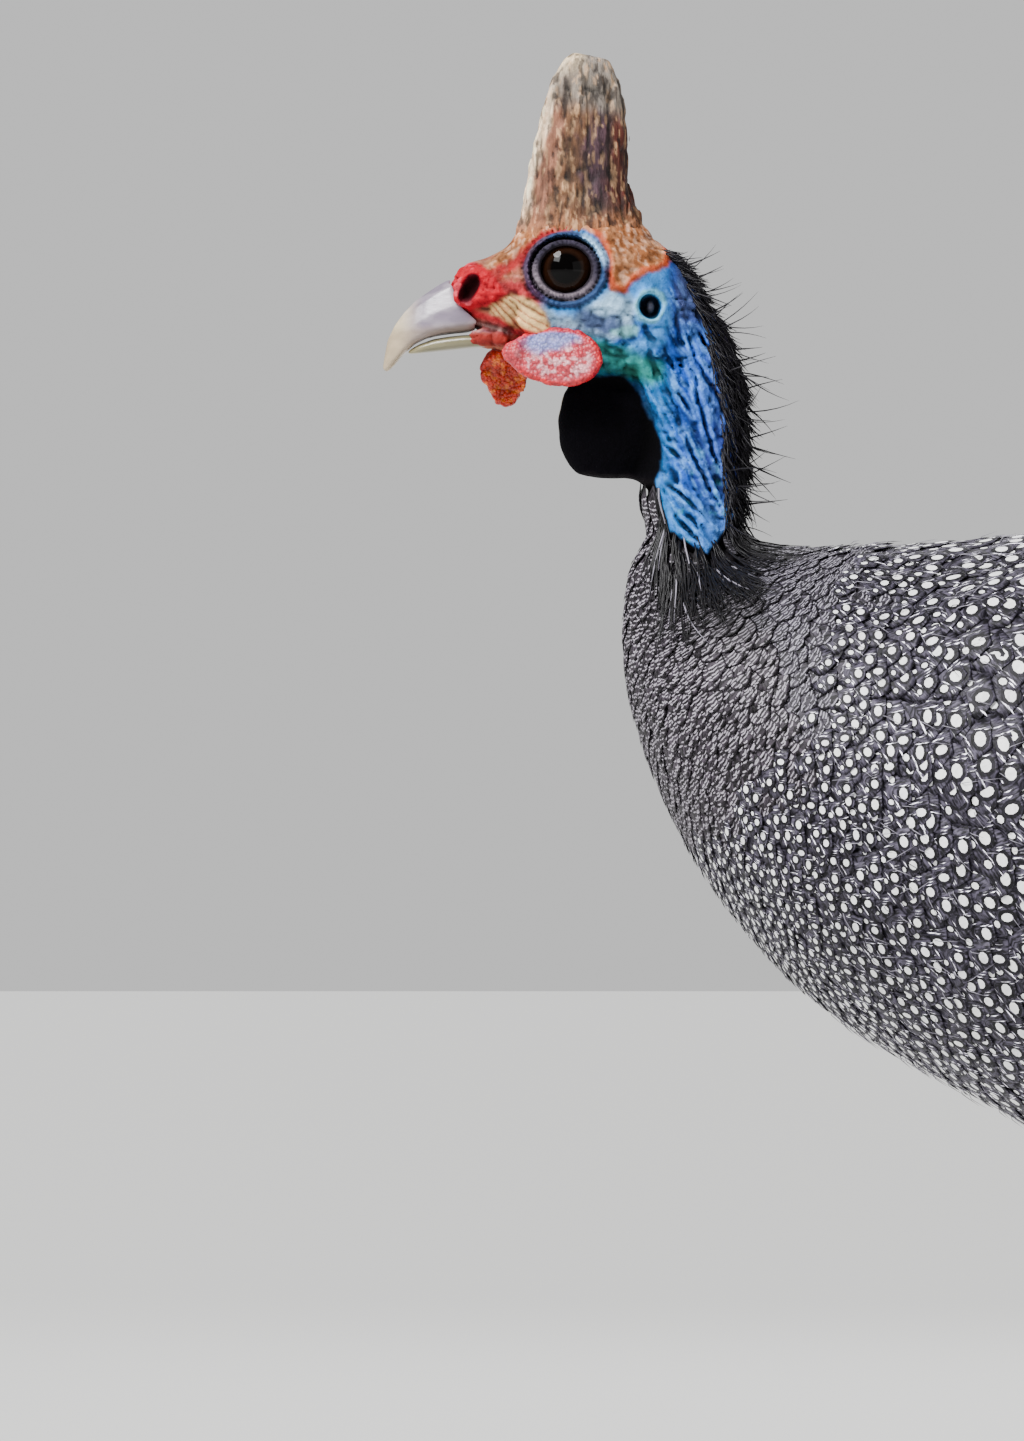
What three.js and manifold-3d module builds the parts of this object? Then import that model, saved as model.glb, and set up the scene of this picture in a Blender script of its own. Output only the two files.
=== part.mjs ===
// A helmeted guinea fowl, life size, standing still with its head up.
// Millimetres, +Z up. The bird faces -X, its left side is -Y, and the floor under its toes is z = 0.
import * as THREE from "three";
import { mergeVertices } from "three/addons/utils/BufferGeometryUtils.js";
import Module from "manifold-3d";

const wasm = await Module();
wasm.setup();

// Driving sizes
const GAP = 0.3; // space kept between neighbouring parts
const VANE = 0.75; // thickness of a flight or tail feather
const EYE = { x: -175.8, y: 7.3, z: 352.6, r: 7.2, deep: 6 };
const LID = { r: 6.5, thick: 1.15, opening: 5.5 };
const ORBIT = { x: 10.6, y: 7, z: 9.4 }; // the swelling round the eye
const EAR = { x: -156.4, z: 344.3, r: 2.5, rim: 0.85 };
const NOSTRIL = { x: -198, z: 348.3, long: 3.3, wide: 1.7, tilt: 0.5 };
const GAPE = { x: -186.6, z: 338.2 };
const MIDDLE_X = -2.3; // the middle of the whole length, which is moved to x = 0 at the end
const NECK_CUT_Z = 293.5; // the bare blue neck ends and the barred collar begins
const LEG_Y = 34; // half the distance between the legs
const STANCE = 7; // the left foot stands this far ahead and the right as far back
const ANKLE = { x: 20, z: 86 };
const FOOT = { x: -6, z: 6 };
const TOE_FLAT = 0.7; // depth of toe pad that is pressed flat on the floor

// Colours of the materials
const COLOUR = {
  plumage: 0x3a3840,
  collar: 0x4a454c,
  blueSkin: 0x4a86c8,
  faceSkin: 0x86b4cf,
  horn: 0x9a7654,
  bill: 0xc9c2c0,
  wattle: 0xd23a44,
  eye: 0x120c0a,
  leg: 0x3b3a3c,
  claw: 0x2a2624,
};

const v3 = (x, y, z) => new THREE.Vector3(x, y, z);
const clamp = (x, low, high) => Math.min(high, Math.max(low, x));
const mix = (a, b, t) => a + (b - a) * t;
const rad = THREE.MathUtils.degToRad;

// A smooth curve through the points (xs, ys) that never overshoots them
function through(xs, ys) {
  const slope = xs.slice(1).map((x, i) => (ys[i + 1] - ys[i]) / (x - xs[i]));
  const tangent = xs.map((_, i) => {
    const a = slope[Math.max(i - 1, 0)];
    const b = slope[Math.min(i, slope.length - 1)];
    return a * b <= 0 ? 0 : (2 * a * b) / (a + b);
  });
  return (at) => {
    const x = clamp(at, xs[0], xs[xs.length - 1]);
    const i = clamp(xs.findIndex((v) => v > x) - 1, 0, xs.length - 2);
    const k = x >= xs[xs.length - 1] ? xs.length - 2 : i;
    const step = xs[k + 1] - xs[k];
    const t = (x - xs[k]) / step;
    return (
      ys[k] * (1 + 2 * t) * (1 - t) ** 2 +
      tangent[k] * step * t * (1 - t) ** 2 +
      ys[k + 1] * t * t * (3 - 2 * t) +
      tangent[k + 1] * step * t * t * (t - 1)
    );
  };
}

// Rings of points joined into one closed surface. turned(side) swaps that side's diagonals.
function closed(rings, turned = () => false) {
  const sides = rings[0].length;
  const last = rings.length - 1;
  const points = rings.flat();
  const index = [];
  for (let i = 0; i < last; i++)
    for (let j = 0; j < sides; j++) {
      const [a, b] = [i * sides + j, i * sides + ((j + 1) % sides)];
      const [c, d] = [a + sides, b + sides];
      if (turned(j)) index.push(a, c, b, b, c, d);
      else index.push(a, d, b, a, c, d);
    }
  for (const start of [0, last * sides]) {
    let [low, high] = [0, sides - 1];
    let fromLow = true; // each end is filled in a zigzag
    while (high - low > 1) {
      const middle = fromLow ? low + 1 : high - 1;
      const [a, b, c] = [low, middle, high].map((k) => start + k);
      if (start) index.push(a, c, b);
      else index.push(a, b, c);
      if (fromLow) low = middle;
      else high = middle;
      fromLow = !fromLow;
    }
  }
  const shape = new THREE.BufferGeometry().setFromPoints(points);
  shape.setIndex(index);
  return shape;
}

function bare(shape) {
  const only = new THREE.BufferGeometry();
  only.setAttribute("position", shape.getAttribute("position").clone());
  if (shape.index) only.setIndex(shape.index.clone());
  return mergeVertices(only, 1e-4);
}

// A closed shape as a solid for cutting and joining, with its faces turned outwards
function solid(shape) {
  const only = bare(shape);
  const make = (tri) =>
    new wasm.Manifold(
      new wasm.Mesh({
        numProp: 3,
        vertProperties: new Float32Array(only.attributes.position.array),
        triVerts: new Uint32Array(tri),
      }),
    );
  const index = Array.from(only.index.array);
  const made = make(index);
  if (made.volume() > 0) return made;
  for (let i = 0; i < index.length; i += 3)
    [index[i + 1], index[i + 2]] = [index[i + 2], index[i + 1]];
  return make(index);
}

// A solid grown on all sides, which cuts a neighbour back so that a gap stays between them
function grown(made, by = GAP) {
  const mesh = made.getMesh();
  const shape = new THREE.BufferGeometry();
  shape.setAttribute(
    "position",
    new THREE.BufferAttribute(new Float32Array(mesh.vertProperties), 3),
  );
  shape.setIndex(new THREE.BufferAttribute(new Uint32Array(mesh.triVerts), 1));
  const only = bare(shape);
  only.computeVertexNormals();
  const [place, normal] = [only.attributes.position, only.attributes.normal];
  for (let i = 0; i < place.count; i++)
    place.setXYZ(
      i,
      place.getX(i) + normal.getX(i) * by,
      place.getY(i) + normal.getY(i) * by,
      place.getZ(i) + normal.getZ(i) * by,
    );
  only.deleteAttribute("normal");
  return solid(only);
}

const joined = (list) => list.reduce((a, b) => a.add(b));
const without = (made, list) => list.reduce((a, b) => a.subtract(b), made);

// The largest closed surface of a solid, with any hollow inside it filled
function whole(made) {
  return made
    .decompose()
    .reduce((best, one) => (one.volume() > best.volume() ? one : best));
}

function ball(at, size, turn = v3(0, 0, 0), sides = 10, rings = 6) {
  const shape = new THREE.SphereGeometry(1, sides, rings);
  shape.scale(size.x, size.y, size.z);
  shape.applyMatrix4(
    new THREE.Matrix4()
      .makeRotationFromEuler(new THREE.Euler(turn.x, turn.y, turn.z))
      .setPosition(at),
  );
  return solid(shape);
}

// A ring that faces sideways, stretched to an oval
function rim(at, r, thick, stretch = v3(1, 1, 1), tilt = 0, sides = 12) {
  const shape = new THREE.TorusGeometry(r, thick, 4, sides);
  shape.rotateX(Math.PI / 2);
  shape.scale(stretch.x, stretch.y, stretch.z);
  shape.rotateY(tilt);
  shape.translate(at.x, at.y, at.z);
  return solid(shape);
}

function box(low, high) {
  const shape = new THREE.BoxGeometry(
    high.x - low.x,
    high.y - low.y,
    high.z - low.z,
  );
  const middle = low.clone().add(high).multiplyScalar(0.5);
  shape.translate(middle.x, middle.y, middle.z);
  return solid(shape);
}

// A form along X from rows of [x, top, bottom, half width], rounded over at its two ends
function hull(rows, { waist = 0.5, pear = 0, ends = [10, 10] }) {
  const xs = rows.map((row) => row[0]);
  const [top, bottom, half] = [1, 2, 3].map((k) =>
    through(
      xs,
      rows.map((row) => row[k]),
    ),
  );
  const [front, rear] = [xs[0], xs[xs.length - 1]];
  const over = (depth, length) =>
    Math.sqrt(1 - (1 - clamp(depth / length, 0, 1)) ** 2);
  const place = (x, angle) => {
    const close = over(x - front, ends[0]) * over(rear - x, ends[1]);
    const middle = mix(bottom(x), top(x), waist);
    const up = Math.cos(angle);
    const reach = up > 0 ? top(x) - middle : middle - bottom(x);
    return v3(
      x,
      half(x) * Math.sin(angle) * (1 - pear * up) * close,
      middle + reach * up * close,
    );
  };
  // A point at a height above the surface. angle is 0 on the back and positive to the bird's right.
  const on = (x, angle, lift = 0) => {
    const at = place(x, angle);
    const along = place(x + 0.5, angle).sub(place(x - 0.5, angle));
    const round = place(x, angle + 0.01).sub(place(x, angle - 0.01));
    return at.add(round.cross(along).normalize().multiplyScalar(-lift));
  };
  const make = (rings, sides) => {
    const list = [];
    for (let i = 0; i <= rings; i++) {
      const share = i / rings;
      const even = mix(front, rear, share);
      const bunched = mix(front, rear, (1 - Math.cos(Math.PI * share)) / 2);
      const x = clamp(mix(even, bunched, 0.55), front + 0.02, rear - 0.02);
      list.push(
        Array.from({ length: sides }, (_, j) =>
          place(x, (2 * Math.PI * j) / sides),
        ),
      );
    }
    return solid(closed(list));
  };
  return { on, place, make, half, top, bottom };
}

// A form along a bent line from rows of [x, y, z, depth, width], both half sizes
function limb(rows, { across = v3(0, 1, 0), rings = 12, sides = 12, at, ripple }) {
  const line = new THREE.CatmullRomCurve3(rows.map((r) => v3(r[0], r[1], r[2])));
  const size = new THREE.CatmullRomCurve3(rows.map((r) => v3(r[3], r[4], 0)));
  const list = [];
  const shares = at ?? Array.from({ length: rings + 1 }, (_, i) => i / rings);
  for (const t of shares) {
    const middle = line.getPoint(t);
    const ahead = line.getTangent(t);
    const side = across
      .clone()
      .addScaledVector(ahead, -across.dot(ahead))
      .normalize();
    const up = side.clone().cross(ahead);
    const { x: depth, y: width } = size.getPoint(t);
    list.push(
      Array.from({ length: sides }, (_, j) => {
        const angle = (2 * Math.PI * j) / sides;
        const swell = ripple ? ripple(t, angle) : 1;
        return middle
          .clone()
          .addScaledVector(up, depth * swell * Math.cos(angle))
          .addScaledVector(side, width * swell * Math.sin(angle));
      }),
    );
  }
  return solid(closed(list));
}

// Width of a feather along its length, from quill to rounded tip
const featherShape = through([0, 0.2, 0.55, 0.85, 1], [0.5, 0.82, 1, 0.86, 0.4]);

// One feather laid on a surface: on(along, round, lift) places a point, radius turns millimetres into
// angle. The quill starts sunk in the surface and rises to the height of its tier. The feather is tilted
// across its width, so that its neighbour can slide under one edge.
function feather(on, radius, f) {
  const list = [];
  for (let i = 0; i <= f.steps; i++) {
    const t = i / f.steps;
    const half = (f.wide / 2) * featherShape(t);
    const height = mix(f.root, f.lift, clamp(t / f.rise, 0, 1));
    const point = (m, face) => {
      const reach = i === f.steps && m === 0 ? f.wide * 0.16 : 0;
      return on(
        mix(f.from, f.to, t) + reach,
        f.round + (m * half) / radius,
        height + f.tilt * m * featherShape(t) + (face * VANE) / 2,
      );
    };
    const across = [-1, 0, 1];
    list.push([
      ...across.map((m) => point(m, 1)),
      ...across.reverse().map((m) => point(m, -1)),
    ]);
  }
  return solid(closed(list, (side) => side === 3 || side === 4));
}

// Body: outline of the plumage from breast to rump, as rows of [x, top, bottom, half width]
const bodyForm = hull(
  [
    [-162.8, 283, 238, 30],
    [-142.6, 287, 211, 44],
    [-121.9, 290, 187, 55],
    [-95, 289.5, 170, 63],
    [-70.4, 292, 156.6, 69],
    [-18, 300, 135, 75],
    [28, 298, 127, 75],
    [74, 285, 131, 67],
    [108, 265.5, 146, 54],
    [134, 246, 162, 43],
    [158, 225, 175, 33],
    [180, 199, 180, 22],
  ],
  { pear: 0.07, ends: [22, 14] },
);
const body = bodyForm.make(24, 22);

// Tail: an arched, drooping fan of tail feathers and their coverts on a stump let into the rump
const tailLine = new THREE.CatmullRomCurve3([
  v3(116, 0, 262),
  v3(140, 0, 245),
  v3(166, 0, 225),
  v3(190, 0, 203),
  v3(208, 0, 181),
  v3(219, 0, 158),
]);
const TAIL_LONG = tailLine.getLength();
const tailWide = through([0, 30, 60, 95, 150], [43, 36, 29, 26, 26]);
const tailDeep = through([0, 30, 60, 95, 150], [40, 32, 24, 17, 15]);
// A point over the fan. s runs back from the rump and round is 0 on the ridge of the fan.
function onTail(s, round, lift = 0) {
  const t = clamp(s / TAIL_LONG, 0, 1);
  const at = tailLine.getPointAt(t);
  const ahead = tailLine.getTangentAt(t);
  const up = v3(-ahead.z, 0, ahead.x);
  const deep = tailDeep(s);
  return at
    .addScaledVector(v3(0, 1, 0), (tailWide(s) + lift) * Math.sin(round))
    .addScaledVector(up, (deep + lift) * Math.cos(round) - deep)
    .addScaledVector(ahead, s - t * TAIL_LONG);
}
const TAIL_FEATHERS = { count: 9, round: 76, tilt: 0.9, ridge: 0.75 };
const TAIL_TIERS = [
  { from: 46, to: 134, wide: 14, root: -4, lift: -1.8, steps: 3 },
  { from: 30, to: 88, wide: 14, root: -2.4, lift: 0.9, steps: 2 },
  { from: 14, to: 56, wide: 14, root: -1, lift: 3.2, steps: 2 },
];
const tailVanes = TAIL_TIERS.flatMap((tier) =>
  Array.from({ length: TAIL_FEATHERS.count }, (_, k) => {
    const m = mix(-1, 1, k / (TAIL_FEATHERS.count - 1));
    const ridge = Math.abs(m) < 0.05; // the middle feather lies on top of its neighbours
    return feather(onTail, 30, {
      ...tier,
      to: tier.to - 12 * m * m,
      round: rad(TAIL_FEATHERS.round) * m,
      lift: tier.lift + (ridge ? TAIL_FEATHERS.ridge : 0),
      rise: 0.4,
      tilt: ridge ? 0 : Math.sign(m) * TAIL_FEATHERS.tilt,
    });
  }),
);
// The stump is a curved slab under the coverts, as rows of [s, top, bottom, half its span in degrees]
const slab = (rows, beyond = []) =>
  solid(
    closed(
      rows.map(([s, top, bottom, span]) => {
        const across = [-1, -0.6, -0.2, 0.2, 0.6, 1].map((m) => rad(span * m));
        beyond.forEach((b) => across.unshift(-rad(span + b)) && across.push(rad(span + b)));
        const over = across.map((a) => onTail(s, a, top));
        const under = across.reverse().map((a) => onTail(s, a, bottom));
        return [...over, ...under];
      }),
    ),
  );
const stump = slab([
  [4, 0.2, -2.6, 56],
  [15, 0.7, -4, 78],
  [30, 0.3, -4.8, 84],
  [46, -1.6, -6.8, 84],
  [62, -4, -8.2, 80],
  [76, -6.8, -8.8, 70],
]);
const tailRoom = slab(
  [
    [2, 12, -3.6, 57],
    [15, 12, -5, 78],
    [30, 12, -5.9, 84],
    [46, 12, -8, 84],
    [62, 12, -9.2, 84],
    [78, 12, -9.8, 84],
    [110, 12, -7, 84],
    [136, 12, -7, 84],
  ],
  [9],
);
const tail = whole(joined([stump, ...tailVanes]));
const torso = whole(body.subtract(tailRoom));

// Head: rows of [x, top, bottom, half width] from the cere to the nape
const headForm = hull(
  [
    [-202, 353.4, 340.2, 5],
    [-197.8, 354.6, 339.6, 6.2],
    [-193.2, 355.8, 337, 7.6],
    [-187.5, 359.3, 332.4, 9.6],
    [-181.7, 362.2, 328.8, 11.6],
    [-175.5, 363.7, 327, 13],
    [-167.9, 364, 325.2, 13.6],
    [-159.9, 362.3, 324, 13.4],
    [-153, 358.2, 323.5, 12.4],
    [-147, 352.6, 325, 10.8],
    [-141.6, 346, 328, 8.7],
  ],
  { waist: 0.58, ends: [5, 9] },
);
const skull = headForm.make(16, 18);
const sidePoint = (x, z, side) => {
  const middle = mix(headForm.bottom(x), headForm.top(x), 0.58);
  const reach = z > middle ? headForm.top(x) - middle : middle - headForm.bottom(x);
  const up = clamp((z - middle) / reach, -1, 1);
  return v3(x, side * headForm.half(x) * Math.sqrt(1 - up * up), z);
};

const eyeSize = (more) => v3(EYE.r + more, EYE.deep + more, EYE.r + more);

// Lids, ear rim and nostril rim stand up from one side of the head, and their openings are cut in after.
function faceOf(side) {
  const eye = v3(EYE.x, side * 12.2, EYE.z);
  const ear = sidePoint(EAR.x, EAR.z, side);
  const nostril = sidePoint(NOSTRIL.x, NOSTRIL.z, side);
  const cheek = sidePoint(-182.5, 339.8, side);
  return {
    raised: [
      ball(v3(EYE.x, side * 5.8, EYE.z), v3(ORBIT.x, ORBIT.y, ORBIT.z), undefined, 10, 6),
      rim(eye, LID.r, LID.thick, v3(1.08, 1, 0.97), 0.25),
      rim(ear, EAR.r + 0.6, EAR.rim, v3(1, 1, 1.1), 0, 10),
      rim(nostril, NOSTRIL.long, 0.9, v3(0.72, 1, 1.1), NOSTRIL.tilt, 10),
      ball(cheek, v3(5.2, 2, 3.4), v3(0, 0.5, 0)),
    ],
    cut: [
      ball(v3(EYE.x, side * EYE.y, EYE.z), eyeSize(GAP), undefined, 12, 8),
      ball(v3(EYE.x, side * 14, EYE.z), v3(LID.opening * 1.08, 4, LID.opening * 0.95), undefined, 10, 6),
      ball(ear, v3(EAR.r, 2.8, EAR.r * 1.1), undefined, 8, 6),
      ball(nostril, v3(NOSTRIL.wide, 2.8, NOSTRIL.long), v3(0, NOSTRIL.tilt, 0), 8, 6),
    ],
  };
}

// The line of the mouth runs on from the bill into the cheeks as a narrow groove.
const mouthGroove = (side) => {
  const from = Math.min(side * 5.5, side * 16);
  return box(
    v3(-204, from, GAPE.z - 0.35),
    v3(GAPE.x, from + 10.5, GAPE.z + 0.35),
  );
};
const faces = [faceOf(-1), faceOf(1)];
const head = whole(
  without(joined([skull, ...faces.flatMap((f) => f.raised)]), [
    ...faces.flatMap((f) => f.cut),
    mouthGroove(-1),
    mouthGroove(1),
  ]),
);

const eyes = [-1, 1].map((side) =>
  ball(
    v3(EYE.x, side * EYE.y, EYE.z),
    eyeSize(0),
    undefined,
    12,
    8,
  ),
);

// Casque: an upright bony helmet, flattened from side to side, with a worn slanting top
const skullRoom = [skull, ...faces.flatMap((f) => f.raised)].map((r) => grown(r));
const casque = whole(
  without(
    limb(
      [
        [-172.2, 0, 355.5, 15.4, 9],
        [-172.5, 0, 361, 15.4, 8.8],
        [-172.7, 0, 365.4, 13.8, 7.4],
        [-173, 0, 373.3, 11.7, 6],
        [-172.3, 0, 380.2, 11, 5.6],
        [-171.7, 0, 387.1, 10, 5.1],
        [-171.2, 0, 394, 8.4, 4.4],
        [-170.6, 0, 399, 6.6, 3.4],
        [-170, 0, 401.8, 4.2, 2.4],
      ],
      { rings: 12, sides: 11 },
    ),
    skullRoom,
  ),
);

// Bill: both halves as rows of [x, top, bottom, half width]. The upper one hooks down over the lower.
const billUpperForm = hull(
  [
    [-217.9, 333.2, 328.8, 1],
    [-217, 336, 329, 1.6],
    [-215.4, 339.6, 330.4, 2.3],
    [-213.6, 342.2, 332.6, 3],
    [-210.9, 345.2, 335.3, 3.9],
    [-207, 348, 337.1, 4.8],
    [-202.4, 350.8, 337.9, 5.5],
    [-197.8, 352.2, 338.3, 5.9],
    [-192, 352.4, 338.6, 6.1],
  ],
  { waist: 0.2, ends: [1.4, 2] },
);
const nostrilRims = faces.map((f) => grown(f.raised[3]));
const billSeat = [grown(headForm.make(12, 10), 1), ...nostrilRims];
const billUpperWhole = billUpperForm.make(12, 10);
const billUpper = whole(without(billUpperWhole, billSeat));
const billLower = whole(
  without(
    hull(
      [
        [-213.6, 333, 331.9, 1.3],
        [-210.9, 334.8, 331.6, 2.5],
        [-207, 336.6, 331.6, 3.6],
        [-202.4, 337.4, 331.9, 4.7],
        [-197.8, 337.8, 332.2, 5.6],
        [-193.2, 337.8, 332, 6.5],
        [-188, 337.6, 331.6, 7.2],
      ],
      { waist: 0.8, ends: [1.6, 2] },
    ).make(9, 10),
    [...billSeat, grown(billUpperWhole)],
  ),
);

// Neck from inside the head down into the breast, as rows of [x, y, z, depth, width]
const neckRows = [
  [-151.5, 0, 340, 11.5, 10],
  [-147.6, 0, 327, 12.8, 10.8],
  [-146.4, 0, 313.5, 12, 10.2],
  [-147.4, 0, 299.7, 12.4, 11],
  [-146.4, 0, 286, 15.2, 15],
  [-143.2, 0, 269, 20.2, 22],
  [-135, 0, 252, 22.5, 28],
  [-124, 0, 236, 21, 27],
];
const neckAll = limb(neckRows, { rings: 13, sides: 14 });
const above = (z) => box(v3(-260, -60, z), v3(-60, 60, 460));
const below = (z) => box(v3(-260, -60, 180), v3(-60, 60, z));

// Black feathers of the nape: flat tapered locks along the back of the bare neck
const napeLine = new THREE.CatmullRomCurve3([
  v3(-144.5, 0, 351),
  v3(-138.6, 0, 339),
  v3(-134.9, 0, 325),
  v3(-134.7, 0, 310),
  v3(-135.2, 0, 298),
]);
function napeLock(share, aside, turn) {
  const root = napeLine.getPoint(share);
  const down = napeLine.getTangent(share);
  const out = v3(0, 1, 0).cross(down).normalize();
  const long = mix(10, 8, share) + turn;
  const lean = mix(-0.55, 0.5, share); // upper locks sweep up, lower ones lie down the neck
  const list = [0, 0.4, 0.75, 1].map((t) => {
    const at = root
      .clone()
      .addScaledVector(out, -2.6 + 6.4 * t - 1.4 * t * t)
      .addScaledVector(down, long * lean * t)
      .addScaledVector(v3(0, 1, 0), aside * (1 + 0.3 * t));
    const half = mix(2.1, 0.3, t);
    const thick = mix(0.8, 0.3, t);
    return [
      at.clone().addScaledVector(down, half),
      at.clone().add(v3(0, thick, 0)),
      at.clone().addScaledVector(down, -half),
      at.clone().add(v3(0, -thick, 0)),
    ];
  });
  return solid(closed(list));
}
const napeLocks = Array.from({ length: 12 }, (_, i) =>
  napeLock((i + 0.4) / 12.4, [0, -2.4, 2.4][i % 3], [0, 1.4, -1][i % 3]),
);
const throat = ball(
  v3(-164.8, 0, 318.4),
  v3(13, 6.6, 13.6),
  undefined,
  14,
  8,
);
const earRoom = faces.map((f) => grown(f.raised[2]));
const neckUpper = whole(
  without(joined([neckAll, throat, ...napeLocks]).intersect(above(NECK_CUT_Z)), [
    skullRoom[0],
    ...earRoom,
  ]),
);
const neckLower = whole(
  neckAll.intersect(below(NECK_CUT_Z - GAP)).subtract(grown(torso)),
);

// Wattles: cupped flaps with a bulb at the root. The left lies back along the cheek, the right hangs down.
function wattle({ root, tip, wide, side, flare, cup }) {
  const long = tip.clone().sub(root);
  const length = long.length();
  const along = long.clone().normalize();
  const out = v3(0, side, 0);
  const down = along.clone().cross(out).multiplyScalar(side).normalize();
  const shape = new THREE.SphereGeometry(1, 12, 7);
  const place = shape.attributes.position;
  for (let i = 0; i < place.count; i++) {
    const [s, n, t] = [place.getX(i), place.getY(i), place.getZ(i)];
    const edge = clamp(s * s + t * t, 0, 1);
    const bead = 1 + 1.3 * edge ** 3; // the rim is thicker than the middle
    const at = root
      .clone()
      .addScaledVector(along, (length * (s + 1)) / 2)
      .addScaledVector(down, (wide / 2) * t * (1 + 0.18 * s))
      .addScaledVector(out, n * 0.95 * bead + (flare * (s + 1)) / 2 + cup * (1 - edge))
      .addScaledVector(out, 0.5 * Math.sin(5 * s + 3 * t));
    place.setXYZ(i, at.x, at.y, at.z);
  }
  const bulb = ball(
    root.clone().addScaledVector(along, 2.4).addScaledVector(out, 0.4),
    v3(3.2, 2, 2.6),
  );
  return solid(shape).add(bulb);
}
const wattleRoom = [...skullRoom, grown(billLower), grown(neckUpper)];
const wattles = [
  wattle({
    root: v3(-189.6, -9.2, 333.6),
    tip: v3(-167.6, -12.6, 331.4),
    wide: 12.6,
    side: -1,
    flare: 1.6,
    cup: 1.2,
  }),
  wattle({
    root: v3(-191.6, 8.4, 335),
    tip: v3(-188.6, 9.8, 321.6),
    wide: 10.4,
    side: 1,
    flare: 1.4,
    cup: 1,
  }),
].map((w) => whole(without(w, wattleRoom)));

// Folded wing: a thin pad beside the torso that carries three tiers of feathers, shingled from the back
// down. The feathers of a tier lie straight above those of the tier below it and never touch them.
const WING = { count: 9, top: 42, bottom: 112, middle: 77, wide: 18, tilt: 0.95 };
const WING_TIERS = [
  { from: 13, to: [108, 128], root: 1.6, lift: 2.6, steps: 4 },
  { from: -34, to: [38, 48], root: 2.6, lift: 4.7, steps: 2 },
  { from: -62, to: [-8, 0], root: 4.2, lift: 6.8, steps: 2 },
];
const wingRadius = 78;
// The pad from shoulder to wrist as rows of [x, height, half its span in degrees]. It steps down
// behind the roots of each tier.
const PAD = [
  [-98, 1.4, 15],
  [-93, 4.6, 23],
  [-84, 6.4, 31],
  [-73, 6.2, 37],
  [-65, 5.4, 42],
  [-58, 5.4, 42],
  [-54, 2.8, 42],
  [-38, 3.8, 42],
  [-30, 3.8, 42],
  [-26, 2.2, 42],
  [9, 2.7, 42],
  [18, 2.7, 42],
  [21, 1.3, 41],
];
function wing(side) {
  // The feathers draw together a little towards the wing tip
  const drawn = (x, angle) =>
    mix(angle, rad(WING.middle), 0.15 * clamp((x + 90) / 220, 0, 1));
  const onWing = (x, angle, lift) =>
    bodyForm.on(x, side * drawn(x, angle), lift);
  const pad = PAD.map(([x, height, span]) => {
    const strip = (lift) =>
      [-1, -0.95, -0.6, -0.2, 0.2, 0.6, 0.95, 1].map((m) => {
        const side = Math.abs(m) === 1;
        return onWing(x, rad(WING.middle + span * m), side ? 1.2 : lift);
      });
    return [...strip(height), ...strip(1.15).reverse()];
  });
  const vanes = WING_TIERS.flatMap((tier) =>
    Array.from({ length: WING.count }, (_, k) => {
      const share = k / (WING.count - 1);
      return feather(onWing, wingRadius, {
        ...tier,
        to: mix(tier.to[0], tier.to[1], Math.sin(share * 2.2)),
        round: rad(mix(WING.top, WING.bottom, share)),
        wide: WING.wide,
        rise: 0.5,
        tilt: WING.tilt,
      });
    }),
  );
  return whole(joined([solid(closed(pad)), ...vanes]));
}

// Legs: a feathered thigh, a scaled shank with its scutes, three front toes and a raised hind toe
const SCUTES = 10;
// Each scute of the shank is flush at its upper edge and stands proud at its lower one
const scuteRings = [0];
for (let k = 0; k < SCUTES; k++)
  scuteRings.push((k + 0.86) / SCUTES, (k + 1) / SCUTES);
const scute = (t, angle) => {
  const rise = ((t + 1e-6) * SCUTES) % 1 > 0.5 ? 1 : 0;
  return 1 + 0.2 * rise * clamp(Math.cos(angle) + 0.2, 0, 1);
};
const TOES = [
  { name: "middle", turn: 0, long: 45 },
  { name: "inner", turn: -29, long: 33 },
  { name: "outer", turn: 31, long: 35 },
];

function toePath(side, at, toe) {
  const turn = rad(toe.turn) * -side;
  const ahead = v3(-Math.cos(turn), -Math.sin(turn), 0);
  const along = (s, z) => at.clone().addScaledVector(ahead, s).setZ(z);
  return { ahead, along };
}

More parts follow.
